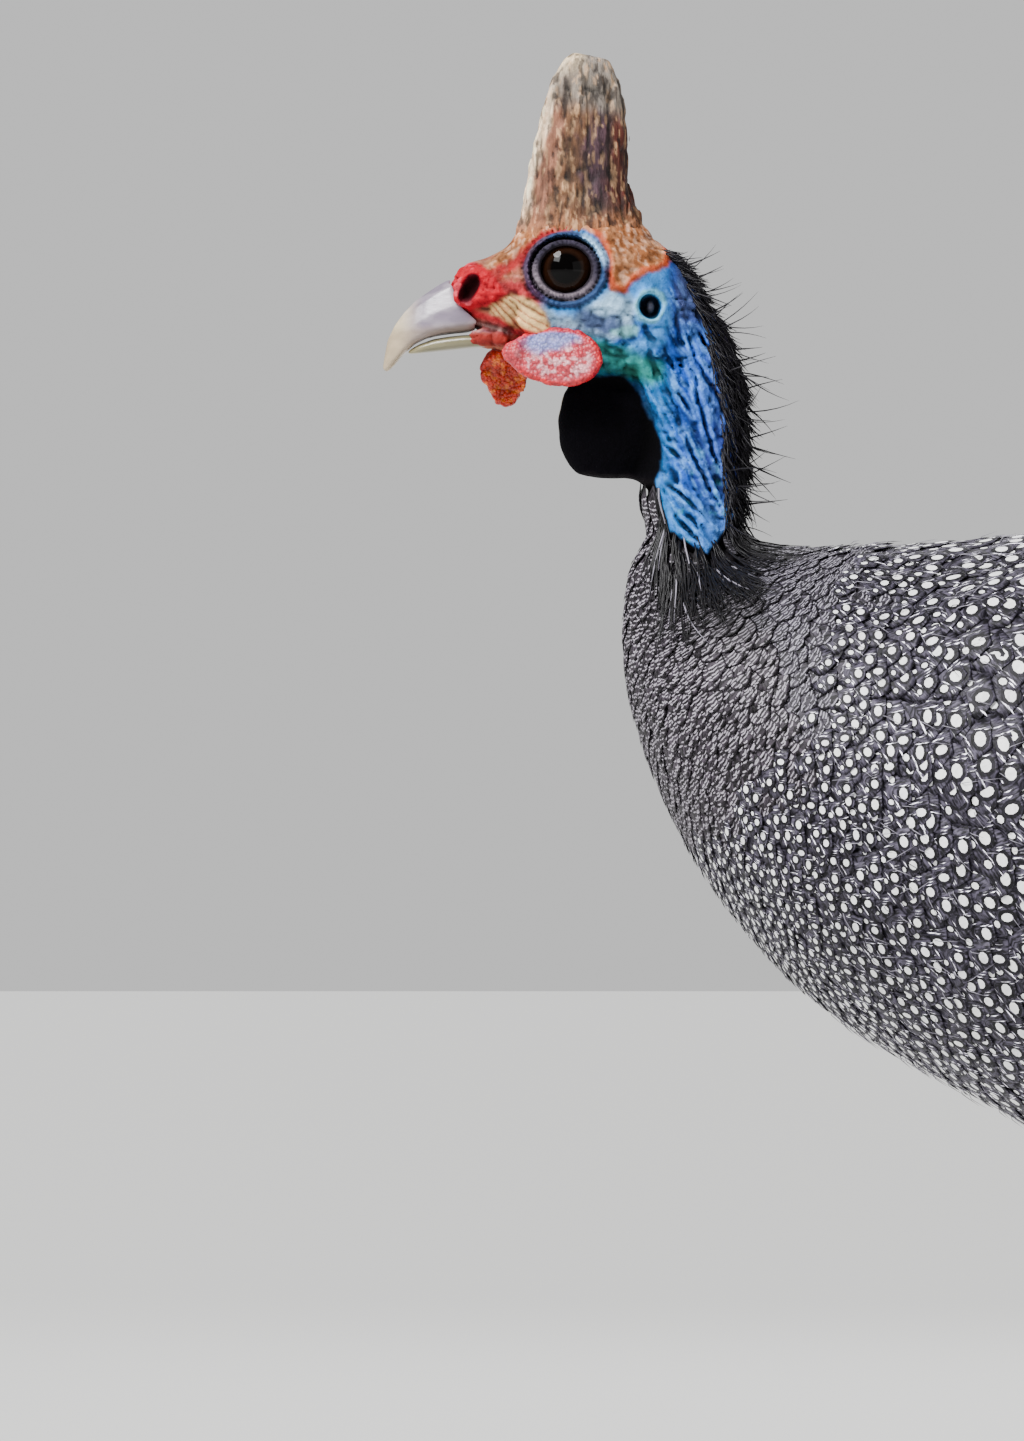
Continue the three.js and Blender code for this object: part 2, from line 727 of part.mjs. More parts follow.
function leg(side) {
  const shift = side < 0 ? -STANCE : STANCE;
  const y = side * LEG_Y;
  const at = (x, z) => [x + shift, y, z];
  const thigh = limb(
    [
      [-8 + shift, side * 33, 172, 33, 24],
      [-3 + shift, side * 35, 142, 27, 20],
      [6 + shift, side * 35, 118, 18, 13.5],
      [14 + shift, side * 34.4, 101, 10.5, 8.6],
      [...at(ANKLE.x - 1, ANKLE.z + 4), 6.2, 5.8],
    ],
    { rings: 9, sides: 12 },
  );
  const slope = (t) => at(mix(ANKLE.x, FOOT.x, t), mix(ANKLE.z, FOOT.z, t));
  const shank = limb(
    [
      [...at(ANKLE.x - 2, ANKLE.z + 12), 4, 3.8],
      [...at(ANKLE.x, ANKLE.z + 4), 5, 4.6],
      [...slope(0.06), 5.2, 4.6],
      [...slope(0.2), 4.1, 3.5],
      [...slope(0.5), 3.9, 3.3],
      [...slope(0.8), 4.2, 3.6],
      [...slope(0.95), 5.4, 5.2],
      [...slope(1.02), 4.4, 4.6],
    ],
    { at: scuteRings, sides: 8, ripple: scute },
  );
  const palm = v3(FOOT.x + shift, y, 4);
  const toes = TOES.map((toe) => {
    const { ahead, along } = toePath(side, palm, toe);
    const pads = (s) => 0.28 * Math.cos((s / toe.long) * Math.PI * 6);
    const rows = [0, 0.15, 0.35, 0.55, 0.75, 0.9, 1].map((t) => {
      const r = mix(4.1, 2.7, t) + pads(t * toe.long);
      const p = along(t * toe.long, r - TOE_FLAT + (t === 1 ? 0.4 : 0));
      return [p.x, p.y, p.z, r, r * 1.05];
    });
    const across = v3(ahead.y, -ahead.x, 0);
    return limb(rows, { across, rings: 5, sides: 8 });
  });
  const hindTurn = rad(20) * side;
  const hindAhead = v3(Math.cos(hindTurn), -Math.sin(hindTurn), 0);
  const hindRoot = v3(FOOT.x + shift + 2, y, 12);
  const hindRows = [0, 0.35, 0.7, 1].map((t) => {
    const p = hindRoot.clone().addScaledVector(hindAhead, 15 * t);
    return [p.x, p.y, mix(12, 3.4, t ** 0.8), mix(3.4, 2.3, t), mix(3.3, 2.3, t)];
  });
  const hind = limb(hindRows, {
    across: v3(hindAhead.y, -hindAhead.x, 0),
    rings: 4,
    sides: 8,
  });
  const ground = box(v3(-140, -120, -40), v3(140, 120, 0));
  const thighSolid = whole(thigh.subtract(grown(torso)));
  const foot = whole(
    without(joined([shank, ...toes, hind]), [ground, grown(thigh, 0.45)]),
  );
  const claws = [
    ...TOES.map((toe) => {
      const { ahead, along } = toePath(side, palm, toe);
      return { name: toe.name, ahead, tip: along(toe.long, 2.4), long: 10, low: 0.9 };
    }),
    {
      name: "hind",
      ahead: hindAhead,
      tip: hindRoot.clone().addScaledVector(hindAhead, 15).setZ(3.4),
      long: 8,
      low: 0.8,
    },
  ].map((claw) => {
    const rows = [-0.25, 0.15, 0.5, 0.8, 1].map((t) => {
      const p = claw.tip.clone().addScaledVector(claw.ahead, claw.long * t);
      const r = mix(2, 0.45, clamp(t, 0, 1));
      return [p.x, p.y, mix(claw.tip.z, claw.low, clamp(t, 0, 1) ** 1.6) + 0.1, r, r * 0.85];
    });
    const across = v3(claw.ahead.y, -claw.ahead.x, 0);
    const made = limb(rows, { across, rings: 3, sides: 6 });
    return [claw.name, whole(without(made, [grown(foot, 0.45), ground]))];
  });
  return { thigh: thighSolid, foot, claws };
}

// The scene graph: one mesh for each named part
const bird = new THREE.Group();
bird.position.x = -MIDDLE_X;
const materials = new Map();
function finish(kind, roughness) {
  if (!materials.has(kind))
    materials.set(
      kind,
      new THREE.MeshStandardMaterial({ color: COLOUR[kind], roughness, metalness: 0 }),
    );
  return materials.get(kind);
}
function place(name, made, kind, roughness = 0.7) {
  const mesh = made.getMesh();
  const shape = new THREE.BufferGeometry();
  shape.setAttribute(
    "position",
    new THREE.BufferAttribute(new Float32Array(mesh.vertProperties), 3),
  );
  shape.setIndex(new THREE.BufferAttribute(new Uint32Array(mesh.triVerts), 1));
  shape.computeVertexNormals();
  const part = new THREE.Mesh(shape, finish(kind, roughness));
  part.name = name;
  bird.add(part);
}

place("torso", torso, "plumage", 0.85);
place("neck_lower", neckLower, "collar", 0.85);
place("neck_upper", neckUpper, "blueSkin", 0.6);
place("head", head, "faceSkin", 0.55);
place("casque", casque, "horn", 0.7);
place("bill_upper", billUpper, "bill", 0.35);
place("bill_lower", billLower, "bill", 0.35);
place("tail", tail, "plumage", 0.8);
["left", "right"].forEach((word, k) => {
  const side = k ? 1 : -1;
  place("eye_" + word, eyes[k], "eye", 0.05);
  place("wattle_" + word, wattles[k], "wattle", 0.5);
  place("wing_" + word, wing(side), "plumage", 0.8);
  const { thigh, foot, claws } = leg(side);
  place("thigh_" + word, thigh, "plumage", 0.85);
  place("leg_" + word, foot, "leg", 0.6);
  for (const [toe, claw] of claws)
    place("claw_" + toe + "_" + word, claw, "claw", 0.4);
});

export default bird;
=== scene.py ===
"""Looks of a still, life-size helmeted guineafowl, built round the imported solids.
All lengths here are in millimetres in the part's frame: bill towards -X, up is +Z, its left towards -Y."""

import math
from itertools import product

import bpy
import numpy as np
import openvdb
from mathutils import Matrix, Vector
from mathutils.bvhtree import BVHTree
from mathutils.geometry import delaunay_2d_cdt


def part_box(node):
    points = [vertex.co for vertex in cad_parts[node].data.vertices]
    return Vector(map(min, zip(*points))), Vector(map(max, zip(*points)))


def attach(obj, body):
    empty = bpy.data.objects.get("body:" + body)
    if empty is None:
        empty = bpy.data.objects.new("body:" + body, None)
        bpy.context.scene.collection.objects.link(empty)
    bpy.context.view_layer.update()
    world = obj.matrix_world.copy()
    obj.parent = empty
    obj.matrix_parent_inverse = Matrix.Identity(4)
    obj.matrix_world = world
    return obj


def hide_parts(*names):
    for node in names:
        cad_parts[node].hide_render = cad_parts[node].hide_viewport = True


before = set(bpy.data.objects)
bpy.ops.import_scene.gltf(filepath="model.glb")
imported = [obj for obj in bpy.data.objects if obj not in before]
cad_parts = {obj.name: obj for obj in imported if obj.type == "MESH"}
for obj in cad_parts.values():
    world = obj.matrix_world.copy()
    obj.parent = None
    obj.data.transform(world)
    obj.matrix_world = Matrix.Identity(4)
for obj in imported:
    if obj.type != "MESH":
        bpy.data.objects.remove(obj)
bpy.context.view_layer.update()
MM = 0.001
BODY_X = 2.3  # the frame's X of the body's middle, from which wings, tail and legs are placed
STRIDE = 7  # the left leg stands this far ahead of it and the right leg this far behind
SIDES = (("left", -1), ("right", 1))  # each side with the sign of its Y
PATCH = 0.003  # width of each tuft's patch on the OFBake unwrap


def linear(hexes):
    """An sRGB colour written as rrggbb, turned into linear light"""
    c = np.array([int(hexes[i : i + 2], 16) / 255 for i in (0, 2, 4)])
    return np.where(c <= 0.04045, c / 12.92, ((c + 0.055) / 1.055) ** 2.4)


def smooth(low, high, x):
    """A share that eases from 0 at low to 1 at high"""
    t = np.clip((x - low) / (high - low), 0, 1)
    return t * t * (3 - 2 * t)


# Camera and light
VIEW_X, VIEW_Z = -185.8, 249.1  # middle of the photograph's frame
VIEW_WIDE = 235.5  # what its width takes in at the bird
VIEW_FAR = 3000  # a long lens, far off
SENSOR = 36  # width of the film
# Soft studio lights: name, kind, place and aim in metres, size in radians or metres, power
LIGHTS = (
    ("sky", "SUN", (-1.2, -1.2, 2.2), (0, 0, 0), 0.4, 5.4),
    ("key", "AREA", (-1.2, -1.3, 1.6), (-0.1, 0, 0.3), 0.7, 26),
    ("fill", "AREA", (1.6, -1.6, 0.7), (0, 0, 0.2), 1.6, 7),
    ("back", "AREA", (0.4, 1.9, 1.2), (0, 0, 0.25), 1.4, 12),
)
BACKDROP_GREY = 0.88
BACKDROP_GLOW, BACKDROP_SEEN = 0.24, 0.8  # how strongly it lights the bird, and shows behind it


def photo_camera():
    """A level camera on the bird's left with the photograph's framing"""
    lens = bpy.data.cameras.new("camera")
    lens.sensor_fit = "HORIZONTAL"
    lens.sensor_width = SENSOR
    lens.lens = SENSOR * VIEW_FAR / VIEW_WIDE
    lens.clip_end = 60
    camera = bpy.data.objects.new("camera", lens)
    camera.location = (VIEW_X * MM, -VIEW_FAR * MM, VIEW_Z * MM)
    camera.rotation_euler = (math.pi / 2, 0, 0)
    bpy.context.scene.collection.objects.link(camera)
    bpy.context.scene.camera = camera


def studio_lamp(name, kind, place, aim, size, power):
    lamp = bpy.data.lights.new(name, kind)
    if kind == "SUN":
        lamp.angle = size
    else:
        lamp.size = size
    lamp.energy = power
    light = bpy.data.objects.new(name, lamp)
    light.location = place
    light.rotation_euler = (Vector(aim) - Vector(place)).to_track_quat("-Z", "Y").to_euler()
    bpy.context.scene.collection.objects.link(light)


def studio_backdrop():
    """A pale backdrop all round, dimmer as a light than as it shows"""
    world = bpy.data.worlds.new("studio")
    bpy.context.scene.world = world
    world.use_nodes = True
    tree = world.node_tree
    backdrop = tree.nodes["Background"]
    backdrop.inputs[0].default_value = (BACKDROP_GREY, BACKDROP_GREY, BACKDROP_GREY, 1)
    seen = tree.nodes.new("ShaderNodeLightPath")
    strength = tree.nodes.new("ShaderNodeMapRange")
    strength.inputs["To Min"].default_value = BACKDROP_GLOW
    strength.inputs["To Max"].default_value = BACKDROP_SEEN
    tree.links.new(seen.outputs["Is Camera Ray"], strength.inputs["Value"])
    tree.links.new(strength.outputs[0], backdrop.inputs[1])


photo_camera()
for lamp_row in LIGHTS:
    studio_lamp(*lamp_row)
studio_backdrop()


# Meshes, their colours and their materials
def mesh_piece(name, points, faces, material, caps=()):
    """A smooth mesh object at the origin from points in millimetres, its caps of another sort of face"""
    mesh = bpy.data.meshes.new(name)
    points = np.asarray(points, np.float32) * MM
    tables = [np.asarray(table, np.int32) for table in (faces, caps) if len(table)]
    corners = np.concatenate([table.ravel() for table in tables])
    sizes = np.concatenate([np.full(len(table), table.shape[1]) for table in tables])
    mesh.vertices.add(len(points))
    mesh.vertices.foreach_set("co", points.ravel())
    mesh.loops.add(len(corners))
    mesh.loops.foreach_set("vertex_index", corners)
    mesh.polygons.add(len(sizes))
    mesh.polygons.foreach_set("loop_start", (np.cumsum(sizes) - sizes).astype(np.int32))
    mesh.update(calc_edges=True)
    mesh.validate()
    mesh.polygons.foreach_set("use_smooth", np.ones(len(mesh.polygons), bool))
    piece = bpy.data.objects.new(name, mesh)
    bpy.context.scene.collection.objects.link(piece)
    mesh.materials.append(material)
    return piece


def paint_points(piece, colours):
    """Keeps one linear colour for each point of a mesh"""
    layer = piece.data.color_attributes.new("tone", "FLOAT_COLOR", "POINT")
    rgba = np.ones((len(piece.data.vertices), 4), np.float32)
    rgba[:, :3] = colours
    layer.data.foreach_set("color", rgba.ravel())


def one_colour(colour, points):
    return np.tile(linear(colour), (len(points), 1))


def blended(tone, fields):
    """Point colours with fields laid over them in turn, each a mask, a colour and a strength"""
    for mask, colour, strength in fields:
        m = (np.clip(mask, 0, 1) * strength)[:, None]
        tone = tone * (1 - m) + linear(colour) * m
    return tone


def node(tree, kind, settings=None, links=None):
    """Adds a node. Settings name its sockets or its properties, links name sockets fed by others."""
    n = tree.nodes.new(kind)
    for key, value in (settings or {}).items():
        if isinstance(key, int) or key in n.inputs:
            n.inputs[key].default_value = value
        else:
            setattr(n, key, value)
    for key, source in (links or {}).items():
        tree.links.new(source, n.inputs[key])
    return n


def surface(name, roughness, **more):
    """A material whose Principled shader is returned with its tree"""
    material = bpy.data.materials.new(name)
    material.use_nodes = True
    tree = material.node_tree
    shader = tree.nodes["Principled BSDF"]
    shader.inputs["Roughness"].default_value = roughness
    for key, value in more.items():
        shader.inputs[key.replace("_", " ")].default_value = value
    return material, tree, shader


def grain(tree, size_mm, detail=3, stretch=(1, 1, 1), rough=0.55):
    """Noise whose lumps are about size_mm across, stretched along the axes"""
    source = node(tree, "ShaderNodeTexCoord").outputs["Object"]
    scaled = node(tree, "ShaderNodeMapping", {"Scale": stretch}, {"Vector": source})
    return node(
        tree,
        "ShaderNodeTexNoise",
        {"Scale": 1 / (size_mm * MM * 1.6), "Detail": detail, "Roughness": rough},
        {"Vector": scaled.outputs[0]},
    ).outputs["Fac"]


def toned(tree, base, amount_source, dark, light, low=0.3, high=0.7):
    """base multiplied by a grey that runs from dark to light as the source goes from low to high"""
    span = node(
        tree,
        "ShaderNodeMapRange",
        {"From Min": low, "From Max": high, "To Min": dark, "To Max": light},
        {"Value": amount_source},
    )
    mix = node(
        tree,
        "ShaderNodeMix",
        {"data_type": "RGBA", "blend_type": "MULTIPLY", "Factor": 1.0},
    )
    tree.links.new(base, mix.inputs[6])
    tree.links.new(span.outputs[0], mix.inputs[7])
    return mix.outputs[2]


def bumped(tree, shader, sources):
    """Chains bumps of (height source, depth in millimetres) onto the shader"""
    last = None
    for height, depth in sources:
        links = {"Height": height}
        if last:
            links["Normal"] = last
        last = node(
            tree, "ShaderNodeBump", {"Strength": 1.0, "Distance": depth * MM}, links
        ).outputs[0]
    tree.links.new(last, shader.inputs["Normal"])


def painted(tree):
    """The colours kept in the mesh"""
    return node(tree, "ShaderNodeAttribute", {"attribute_name": "tone"}).outputs["Color"]


# Bare skin of the head: thin, waxy and finely creased, so soft light with a faint sheen
skin_material, tree, shader = surface("bare_skin", 0.5, Specular_IOR_Level=0.07)
fine, pore = grain(tree, 0.7, 4), grain(tree, 0.28, 2)
base = toned(tree, painted(tree), grain(tree, 1.5, 5, rough=0.7), 0.72, 1.22)
tree.links.new(toned(tree, base, fine, 0.82, 1.14), shader.inputs["Base Color"])
bumped(tree, shader, [(fine, 0.35), (pore, 0.12)])
# The black throat is matt like velvet
depth = node(tree, "ShaderNodeAttribute", {"attribute_name": "tone"}).outputs["Fac"]
dull = node(
    tree,
    "ShaderNodeMapRange",
    {"From Min": 0.003, "From Max": 0.03, "To Min": 1.0, "To Max": 0.46},
    {"Value": depth},
)
tree.links.new(dull.outputs[0], shader.inputs["Roughness"])

# Casque: a bony core under fibrous, fuzzy horn, so dull with lengthwise fibres
horn_material, tree, shader = surface("fibrous_horn", 0.62, Specular_IOR_Level=0.3)
fibre = grain(tree, 0.5, 4, (1, 1, 0.16), rough=0.7)
base = toned(tree, painted(tree), grain(tree, 1.6, 5, (1, 1, 0.45), rough=0.75), 0.55, 1.4)
tree.links.new(toned(tree, base, fibre, 0.62, 1.3), shader.inputs["Base Color"])
bumped(tree, shader, [(fibre, 0.5), (grain(tree, 0.4, 3), 0.15)])

# Bill: smooth keratin, worn glossy, with faint growth lines
bill_material, tree, shader = surface(
    "bill_keratin", 0.3, Specular_IOR_Level=0.5, Coat_Weight=0.15, Coat_Roughness=0.2
)
growth = grain(tree, 1.2, 4, (0.25, 1, 1))
base = toned(tree, painted(tree), growth, 0.84, 1.1)
tree.links.new(base, shader.inputs["Base Color"])
bumped(tree, shader, [(growth, 0.12)])

# Wattle: soft, blood-rich skin with small papillae
wattle_material, tree, shader = surface(
    "wattle_skin", 0.42, Specular_IOR_Level=0.45, Subsurface_Weight=0.12
)
shader.inputs["Subsurface Radius"].default_value = (0.002, 0.0006, 0.0004)
papilla = node(
    tree,
    "ShaderNodeTexVoronoi",
    {"Scale": 1 / (0.75 * MM), "Randomness": 0.9},
    {"Vector": node(tree, "ShaderNodeTexCoord").outputs["Object"]},
).outputs["Distance"]
base = toned(tree, painted(tree), papilla, 1.2, 0.78)
tree.links.new(base, shader.inputs["Base Color"])
bumped(tree, shader, [(papilla, -0.3), (grain(tree, 0.5, 3), 0.2)])

# Eye: a wet, near-black brown iris round a black pupil
eye_material, tree, shader = surface(
    "eye", 0.04, Specular_IOR_Level=0.06, Coat_Weight=0.1, Coat_Roughness=0.02
)
tree.links.new(painted(tree), shader.inputs["Base Color"])

# Feathers: matt keratin barbs that lie slantwise from the shaft and part here and there
plumage_material, tree, shader = surface("feather_vane", 0.58, Specular_IOR_Level=0.25)
vane_place = node(tree, "ShaderNodeUVMap", {"uv_map": "vane"}).outputs[0]
barbs = node(
    tree,
    "ShaderNodeTexNoise",
    {"Scale": 1.0, "Detail": 3, "Roughness": 0.6},
    {"Vector": vane_place},
).outputs["Fac"]
vane_tone = node(tree, "ShaderNodeAttribute", {"attribute_name": "tone"})
# Barbs are drawn several times as coarse as they grow, so that they still show from some way off
streaked = toned(tree, vane_tone.outputs["Color"], barbs, 0.3, 4.2, 0.43, 0.64)
# Alpha is 0 on the white spots, where the barbs hardly show
spot_clean = node(tree, "ShaderNodeMix", {"data_type": "RGBA"}, {0: vane_tone.outputs["Alpha"]})
tree.links.new(toned(tree, vane_tone.outputs["Color"], barbs, 0.82, 1.12), spot_clean.inputs[6])
tree.links.new(streaked, spot_clean.inputs[7])
tree.links.new(spot_clean.outputs[2], shader.inputs["Base Color"])
bumped(tree, shader, [(barbs, 0.2)])

# Hair-like nape feathers: black, stiff, with a dull shine
hair_material, tree, shader = surface("nape_hair", 0.45, Specular_IOR_Level=0.4)
tree.links.new(
    toned(tree, painted(tree), grain(tree, 2.0, 2), 0.6, 1.4), shader.inputs["Base Color"]
)

# Leg scales: horny plates, dark grey-brown, with a dull shine on each edge
scale_material, tree, shader = surface("leg_scales", 0.5, Specular_IOR_Level=0.4)
base = toned(tree, painted(tree), grain(tree, 2.2, 4), 0.7, 1.25)
tree.links.new(base, shader.inputs["Base Color"])
bumped(tree, shader, [(grain(tree, 0.6, 3), 0.25)])

# Claws: dark worn horn
claw_material, tree, shader = surface("claw_horn", 0.35, Specular_IOR_Level=0.45)
claw_grain = grain(tree, 0.8, 3, (0.3, 1, 1))
browns = node(tree, "ShaderNodeMix", {"data_type": "RGBA"}, {0: claw_grain})
browns.inputs[6].default_value = (*linear("2e2722"), 1)
browns.inputs[7].default_value = (*linear("64564c"), 1)
tree.links.new(browns.outputs[2], shader.inputs["Base Color"])
bumped(tree, shader, [(claw_grain, 0.1)])

# Floor: plain pale card
floor_material, tree, shader = surface("pale_floor", 0.9)
shader.inputs["Base Color"].default_value = (0.72, 0.72, 0.71, 1)
floor = mesh_piece(
    "floor",
    [(-9000, -9000, 0), (9000, -9000, 0), (9000, 9000, 0), (-9000, 9000, 0)],
    [(0, 1, 2, 3)],
    floor_material,
)


# Noise in space
def cell_corners(f):
    """The eight corners of a cell, each with its weight at the places f inside it"""
    for corner in range(8):
        off = np.array([corner & 1, (corner >> 1) & 1, corner >> 2])
        yield off, np.prod(np.where(off == 1, f, 1 - f), axis=1)


def lattice(p, seed):
    """Smooth noise from 0 to 1 at points p, with lumps one unit across"""
    base = np.floor(p).astype(np.int64)
    f = p - base
    f = f * f * (3 - 2 * f)
    total = 0
    for off, weight in cell_corners(f):
        q = base + off
        # Large odd numbers scramble the corner's place into a value that looks random
        h = (q[:, 0] * 73856093) ^ (q[:, 1] * 19349663) ^ (q[:, 2] * 83492791) ^ (seed * 2654435761)
        h = (h ^ (h >> 13)) * 1274126177
        value = ((h ^ (h >> 16)) & 0xFFFF) / 65535.0
        total = total + weight * value
    return total


def noise(p, size, seed=1, stretch=(1, 1, 1)):
    """Noise from 0 to 1 in three sizes of lumps, the largest about size across"""
    p = np.asarray(p) * np.asarray(stretch) / size
    middling, small = lattice(p * 2.1, seed + 7), lattice(p * 4.3, seed + 13)
    return 0.6 * lattice(p, seed) + 0.28 * middling + 0.12 * small


def ridged(p, size, seed=1, stretch=(1, 1, 1)):
    """Noise with rounded ridges and narrow creases, from 0 in the creases to 1"""
    n = lattice(np.asarray(p) * np.asarray(stretch) / size, seed)
    return np.sqrt(np.clip(np.abs(2 * n - 1) * 1.6, 0, 1))


# Flesh modelled as distances
def corners_of(o):
    """Points in millimetres and triangles of a mesh object"""
    co = np.zeros(len(o.data.vertices) * 3, np.float32)
    o.data.vertices.foreach_get("co", co)
    tris = np.zeros(len(o.data.loops), np.int32)
    o.data.loops.foreach_get("vertex_index", tris)
    return co.reshape(-1, 3) / MM, tris.reshape(-1, 3)


def soft_taps(sigma):
    """How many samples each way a soft average reaches, and the share of each"""
    reach = int(math.ceil(2.5 * sigma))
    taps = np.exp(-0.5 * (np.arange(-reach, reach + 1) / sigma) ** 2)
    return reach, taps / taps.sum()


def blur(d, sigma):
    """A soft average over sigma samples each way"""
    reach, taps = soft_taps(sigma)
    for axis in range(3):
        padded = np.pad(d, [(reach, reach) if a == axis else (0, 0) for a in range(3)], "edge")
        out = np.zeros_like(d)
        for k, w in enumerate(taps):
            window = [slice(None)] * 3
            window[axis] = slice(k, k + d.shape[axis])
            out += w * padded[tuple(window)]
        d = out
    return d


class Clay:
    """A block of space whose samples hold the distance to the flesh, negative inside"""

    def __init__(self, low, high, step):
        self.step = step
        low = np.array(low, float)
        count = np.ceil((np.array(high) - low) / step).astype(int) + 1
        self.d = np.full(count, 99.0, np.float32)
        self.transform = openvdb.createLinearTransform(voxelSize=step)
        self.first = np.round(low / step).astype(int)
        self.low = self.first * step
        self.axes = [self.low[k] + step * np.arange(count[k]) for k in range(3)]

    def solid(self, name, band=8.0):
        """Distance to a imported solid"""
        points, tris = corners_of(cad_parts[name])
        grid = openvdb.FloatGrid.createLevelSetFromPolygons(
            points.astype(np.float32),
            triangles=tris.astype(np.uint32),
            transform=self.transform,
            halfWidth=band / self.step,
        )
        out = np.zeros(self.d.shape, np.float32)
        grid.copyToArray(out, ijk=tuple(int(v) for v in self.first))
        return out

    def near(self, centre, reach):
        """A window of the block and its coordinates"""
        cut, xyz = [], []
        for k in range(3):
            a = np.searchsorted(self.axes[k], centre[k] - reach)
            b = np.searchsorted(self.axes[k], centre[k] + reach)
            cut.append(slice(int(a), int(b)))
            shape = [1, 1, 1]
            shape[k] = -1
            xyz.append(self.axes[k][a:b].reshape(shape))
        return tuple(cut), xyz

    def add(self, centre, reach, shape, soft=0.0):
        """Joins a form given as a function of x, y, z, with a soft fillet"""
        cut, xyz = self.near(centre, reach)
        self.d[cut] = soft_min(self.d[cut], shape(*xyz), soft)

    def take(self, centre, reach, shape, soft=0.0):
        """Cuts a form out, with a soft edge"""
        cut, xyz = self.near(centre, reach)
        self.d[cut] = -soft_min(-self.d[cut], shape(*xyz), soft)

    def raise_by(self, height, band=2.6):
        """Lifts the surface by a height in millimetres given for points near it"""
        index = np.nonzero(np.abs(self.d) < band)
        p = np.stack([self.axes[k][index[k]] for k in range(3)], axis=1)
        self.d[index] -= height(p).astype(np.float32)

    def relief(self, points, reach_mm=1.3):
        """How far points of the surface stand proud of the same surface softened, in millimetres"""
        soft = blur(np.clip(self.d, -4, 4), reach_mm / self.step)
        at = (np.asarray(points) - self.low) / self.step
        base = np.clip(np.floor(at).astype(int), 0, np.array(self.d.shape) - 2)
        f = at - base
        total = 0
        for off, weight in cell_corners(f):
            q = base + off
            total = total + soft[q[:, 0], q[:, 1], q[:, 2]] * weight
        return total

    def skin(self):
        """Points and four-sided faces of the surface"""
        grid = openvdb.FloatGrid(1.0)
        grid.transform = self.transform
        held = np.clip(self.d, -3 * self.step, 3 * self.step).astype(np.float32)
        grid.copyFromArray(held, ijk=tuple(int(v) for v in self.first))
        grid.gridClass = openvdb.GridClass.LEVEL_SET
        points, quads = grid.convertToQuads()
        return np.array(points), np.array(quads)[:, ::-1]


def soft_min(a, b, soft):
    """The lesser of two distances, with a soft fillet where they meet"""
    if soft <= 0:
        return np.minimum(a, b)
    h = np.clip(0.5 + 0.5 * (b - a) / soft, 0, 1)
    return b + (a - b) * h - soft * h * (1 - h)


def egg(centre, size, turn=0.0):
    """Distance to an ellipsoid whose long axis may lean in the side view"""
    c, s = math.cos(turn), math.sin(turn)

    def shape(x, y, z):
        dx, dy, dz = x - centre[0], y - centre[1], z - centre[2]
        u, w = c * dx + s * dz, -s * dx + c * dz
        k = np.sqrt((u / size[0]) ** 2 + (dy / size[1]) ** 2 + (w / size[2]) ** 2)
        return (k - 1) * min(size)

    return shape


def off_line(x, z, points):
    """Distance in the side view to a bent line, and the share of the way along it"""
    best = np.full(np.broadcast(x, z).shape, 1e9)
    share = np.zeros_like(best)
    pts = np.array(points, float)
    lengths = np.hypot(*np.diff(pts, axis=0).T)
    total, run = lengths.sum(), 0.0
    for (ax, az), (bx, bz), length in zip(pts[:-1], pts[1:], lengths):
        t = np.clip(((x - ax) * (bx - ax) + (z - az) * (bz - az)) / length**2, 0, 1)
        d = np.hypot(x - ax - t * (bx - ax), z - az - t * (bz - az))
        closer = d < best
        best = np.where(closer, d, best)
        share = np.where(closer, (run + t * length) / total, share)
        run += length
    return best, share


def inside(x, z, points):
    """Signed distance in the side view to a closed outline, positive inside it"""
    d, _ = off_line(x, z, list(points) + [points[0]])
    odd = np.zeros(d.shape, bool)
    for (ax, az), (bx, bz) in zip(points, list(points[1:]) + [points[0]]):
        if az == bz:
            continue
        crosses = ((az > z) != (bz > z)) & (x < (bx - ax) * (z - az) / (bz - az) + ax)
        odd ^= crosses
    return np.where(odd, d, -d)


# Head and bare neck
EYE_X, EYE_Y, EYE_Z = -173.5, 7.3, 352.6
EYE_SIZE = (7.2, 6.0, 7.2)
EAR_X, EAR_Z = -154.1, 343.9
NOSTRIL_X, NOSTRIL_Z = -195.6, 348.2


def eye_round(x, z):
    """Distance from the middle of the eye, measured along its slightly flat oval"""
    return np.hypot((x - EYE_X) / 1.06, (z - EYE_Z + 0.1) / 0.96)


# Outlines of the coloured fields of the head, in the side view
CROWN = [
    (-192.4, 353.4), (-186, 359.6), (-183, 368), (-150, 368), (-152.6, 364.5), (-149, 357),
    (-150.2, 353.4), (-155, 351.6), (-158, 349.5), (-160, 346.9), (-163, 348), (-164.2, 352),
    (-164.3, 356), (-166, 360), (-170, 362.4), (-175.5, 361.4), (-180, 358.2), (-184.5, 354.2),
    (-188.5, 349.8), (-191.4, 351.4),
]
CERE = [
    (-201.2, 349.4), (-199.8, 352.8), (-195.6, 354.4), (-192.4, 353.8), (-190.4, 351.8),
    (-188.4, 349), (-187.2, 346.8), (-191.4, 344), (-195.6, 343), (-199, 344), (-200.6, 346.2),
]
CHEEK = [
    (-191.2, 345), (-186, 346.6), (-181.6, 345.4), (-178.2, 342.6), (-177, 338.8), (-178.8, 336.9),
    (-183, 337.8), (-187.2, 340.5), (-190.6, 342.8),
]
PALE = [
    (-179, 344.2), (-176, 341.6), (-172, 341.4), (-167, 345), (-163, 347.4), (-159.6, 346.4),
    (-157.4, 344.6), (-158.4, 338.5), (-164, 336.4), (-170, 338), (-176.4, 338.6),
]
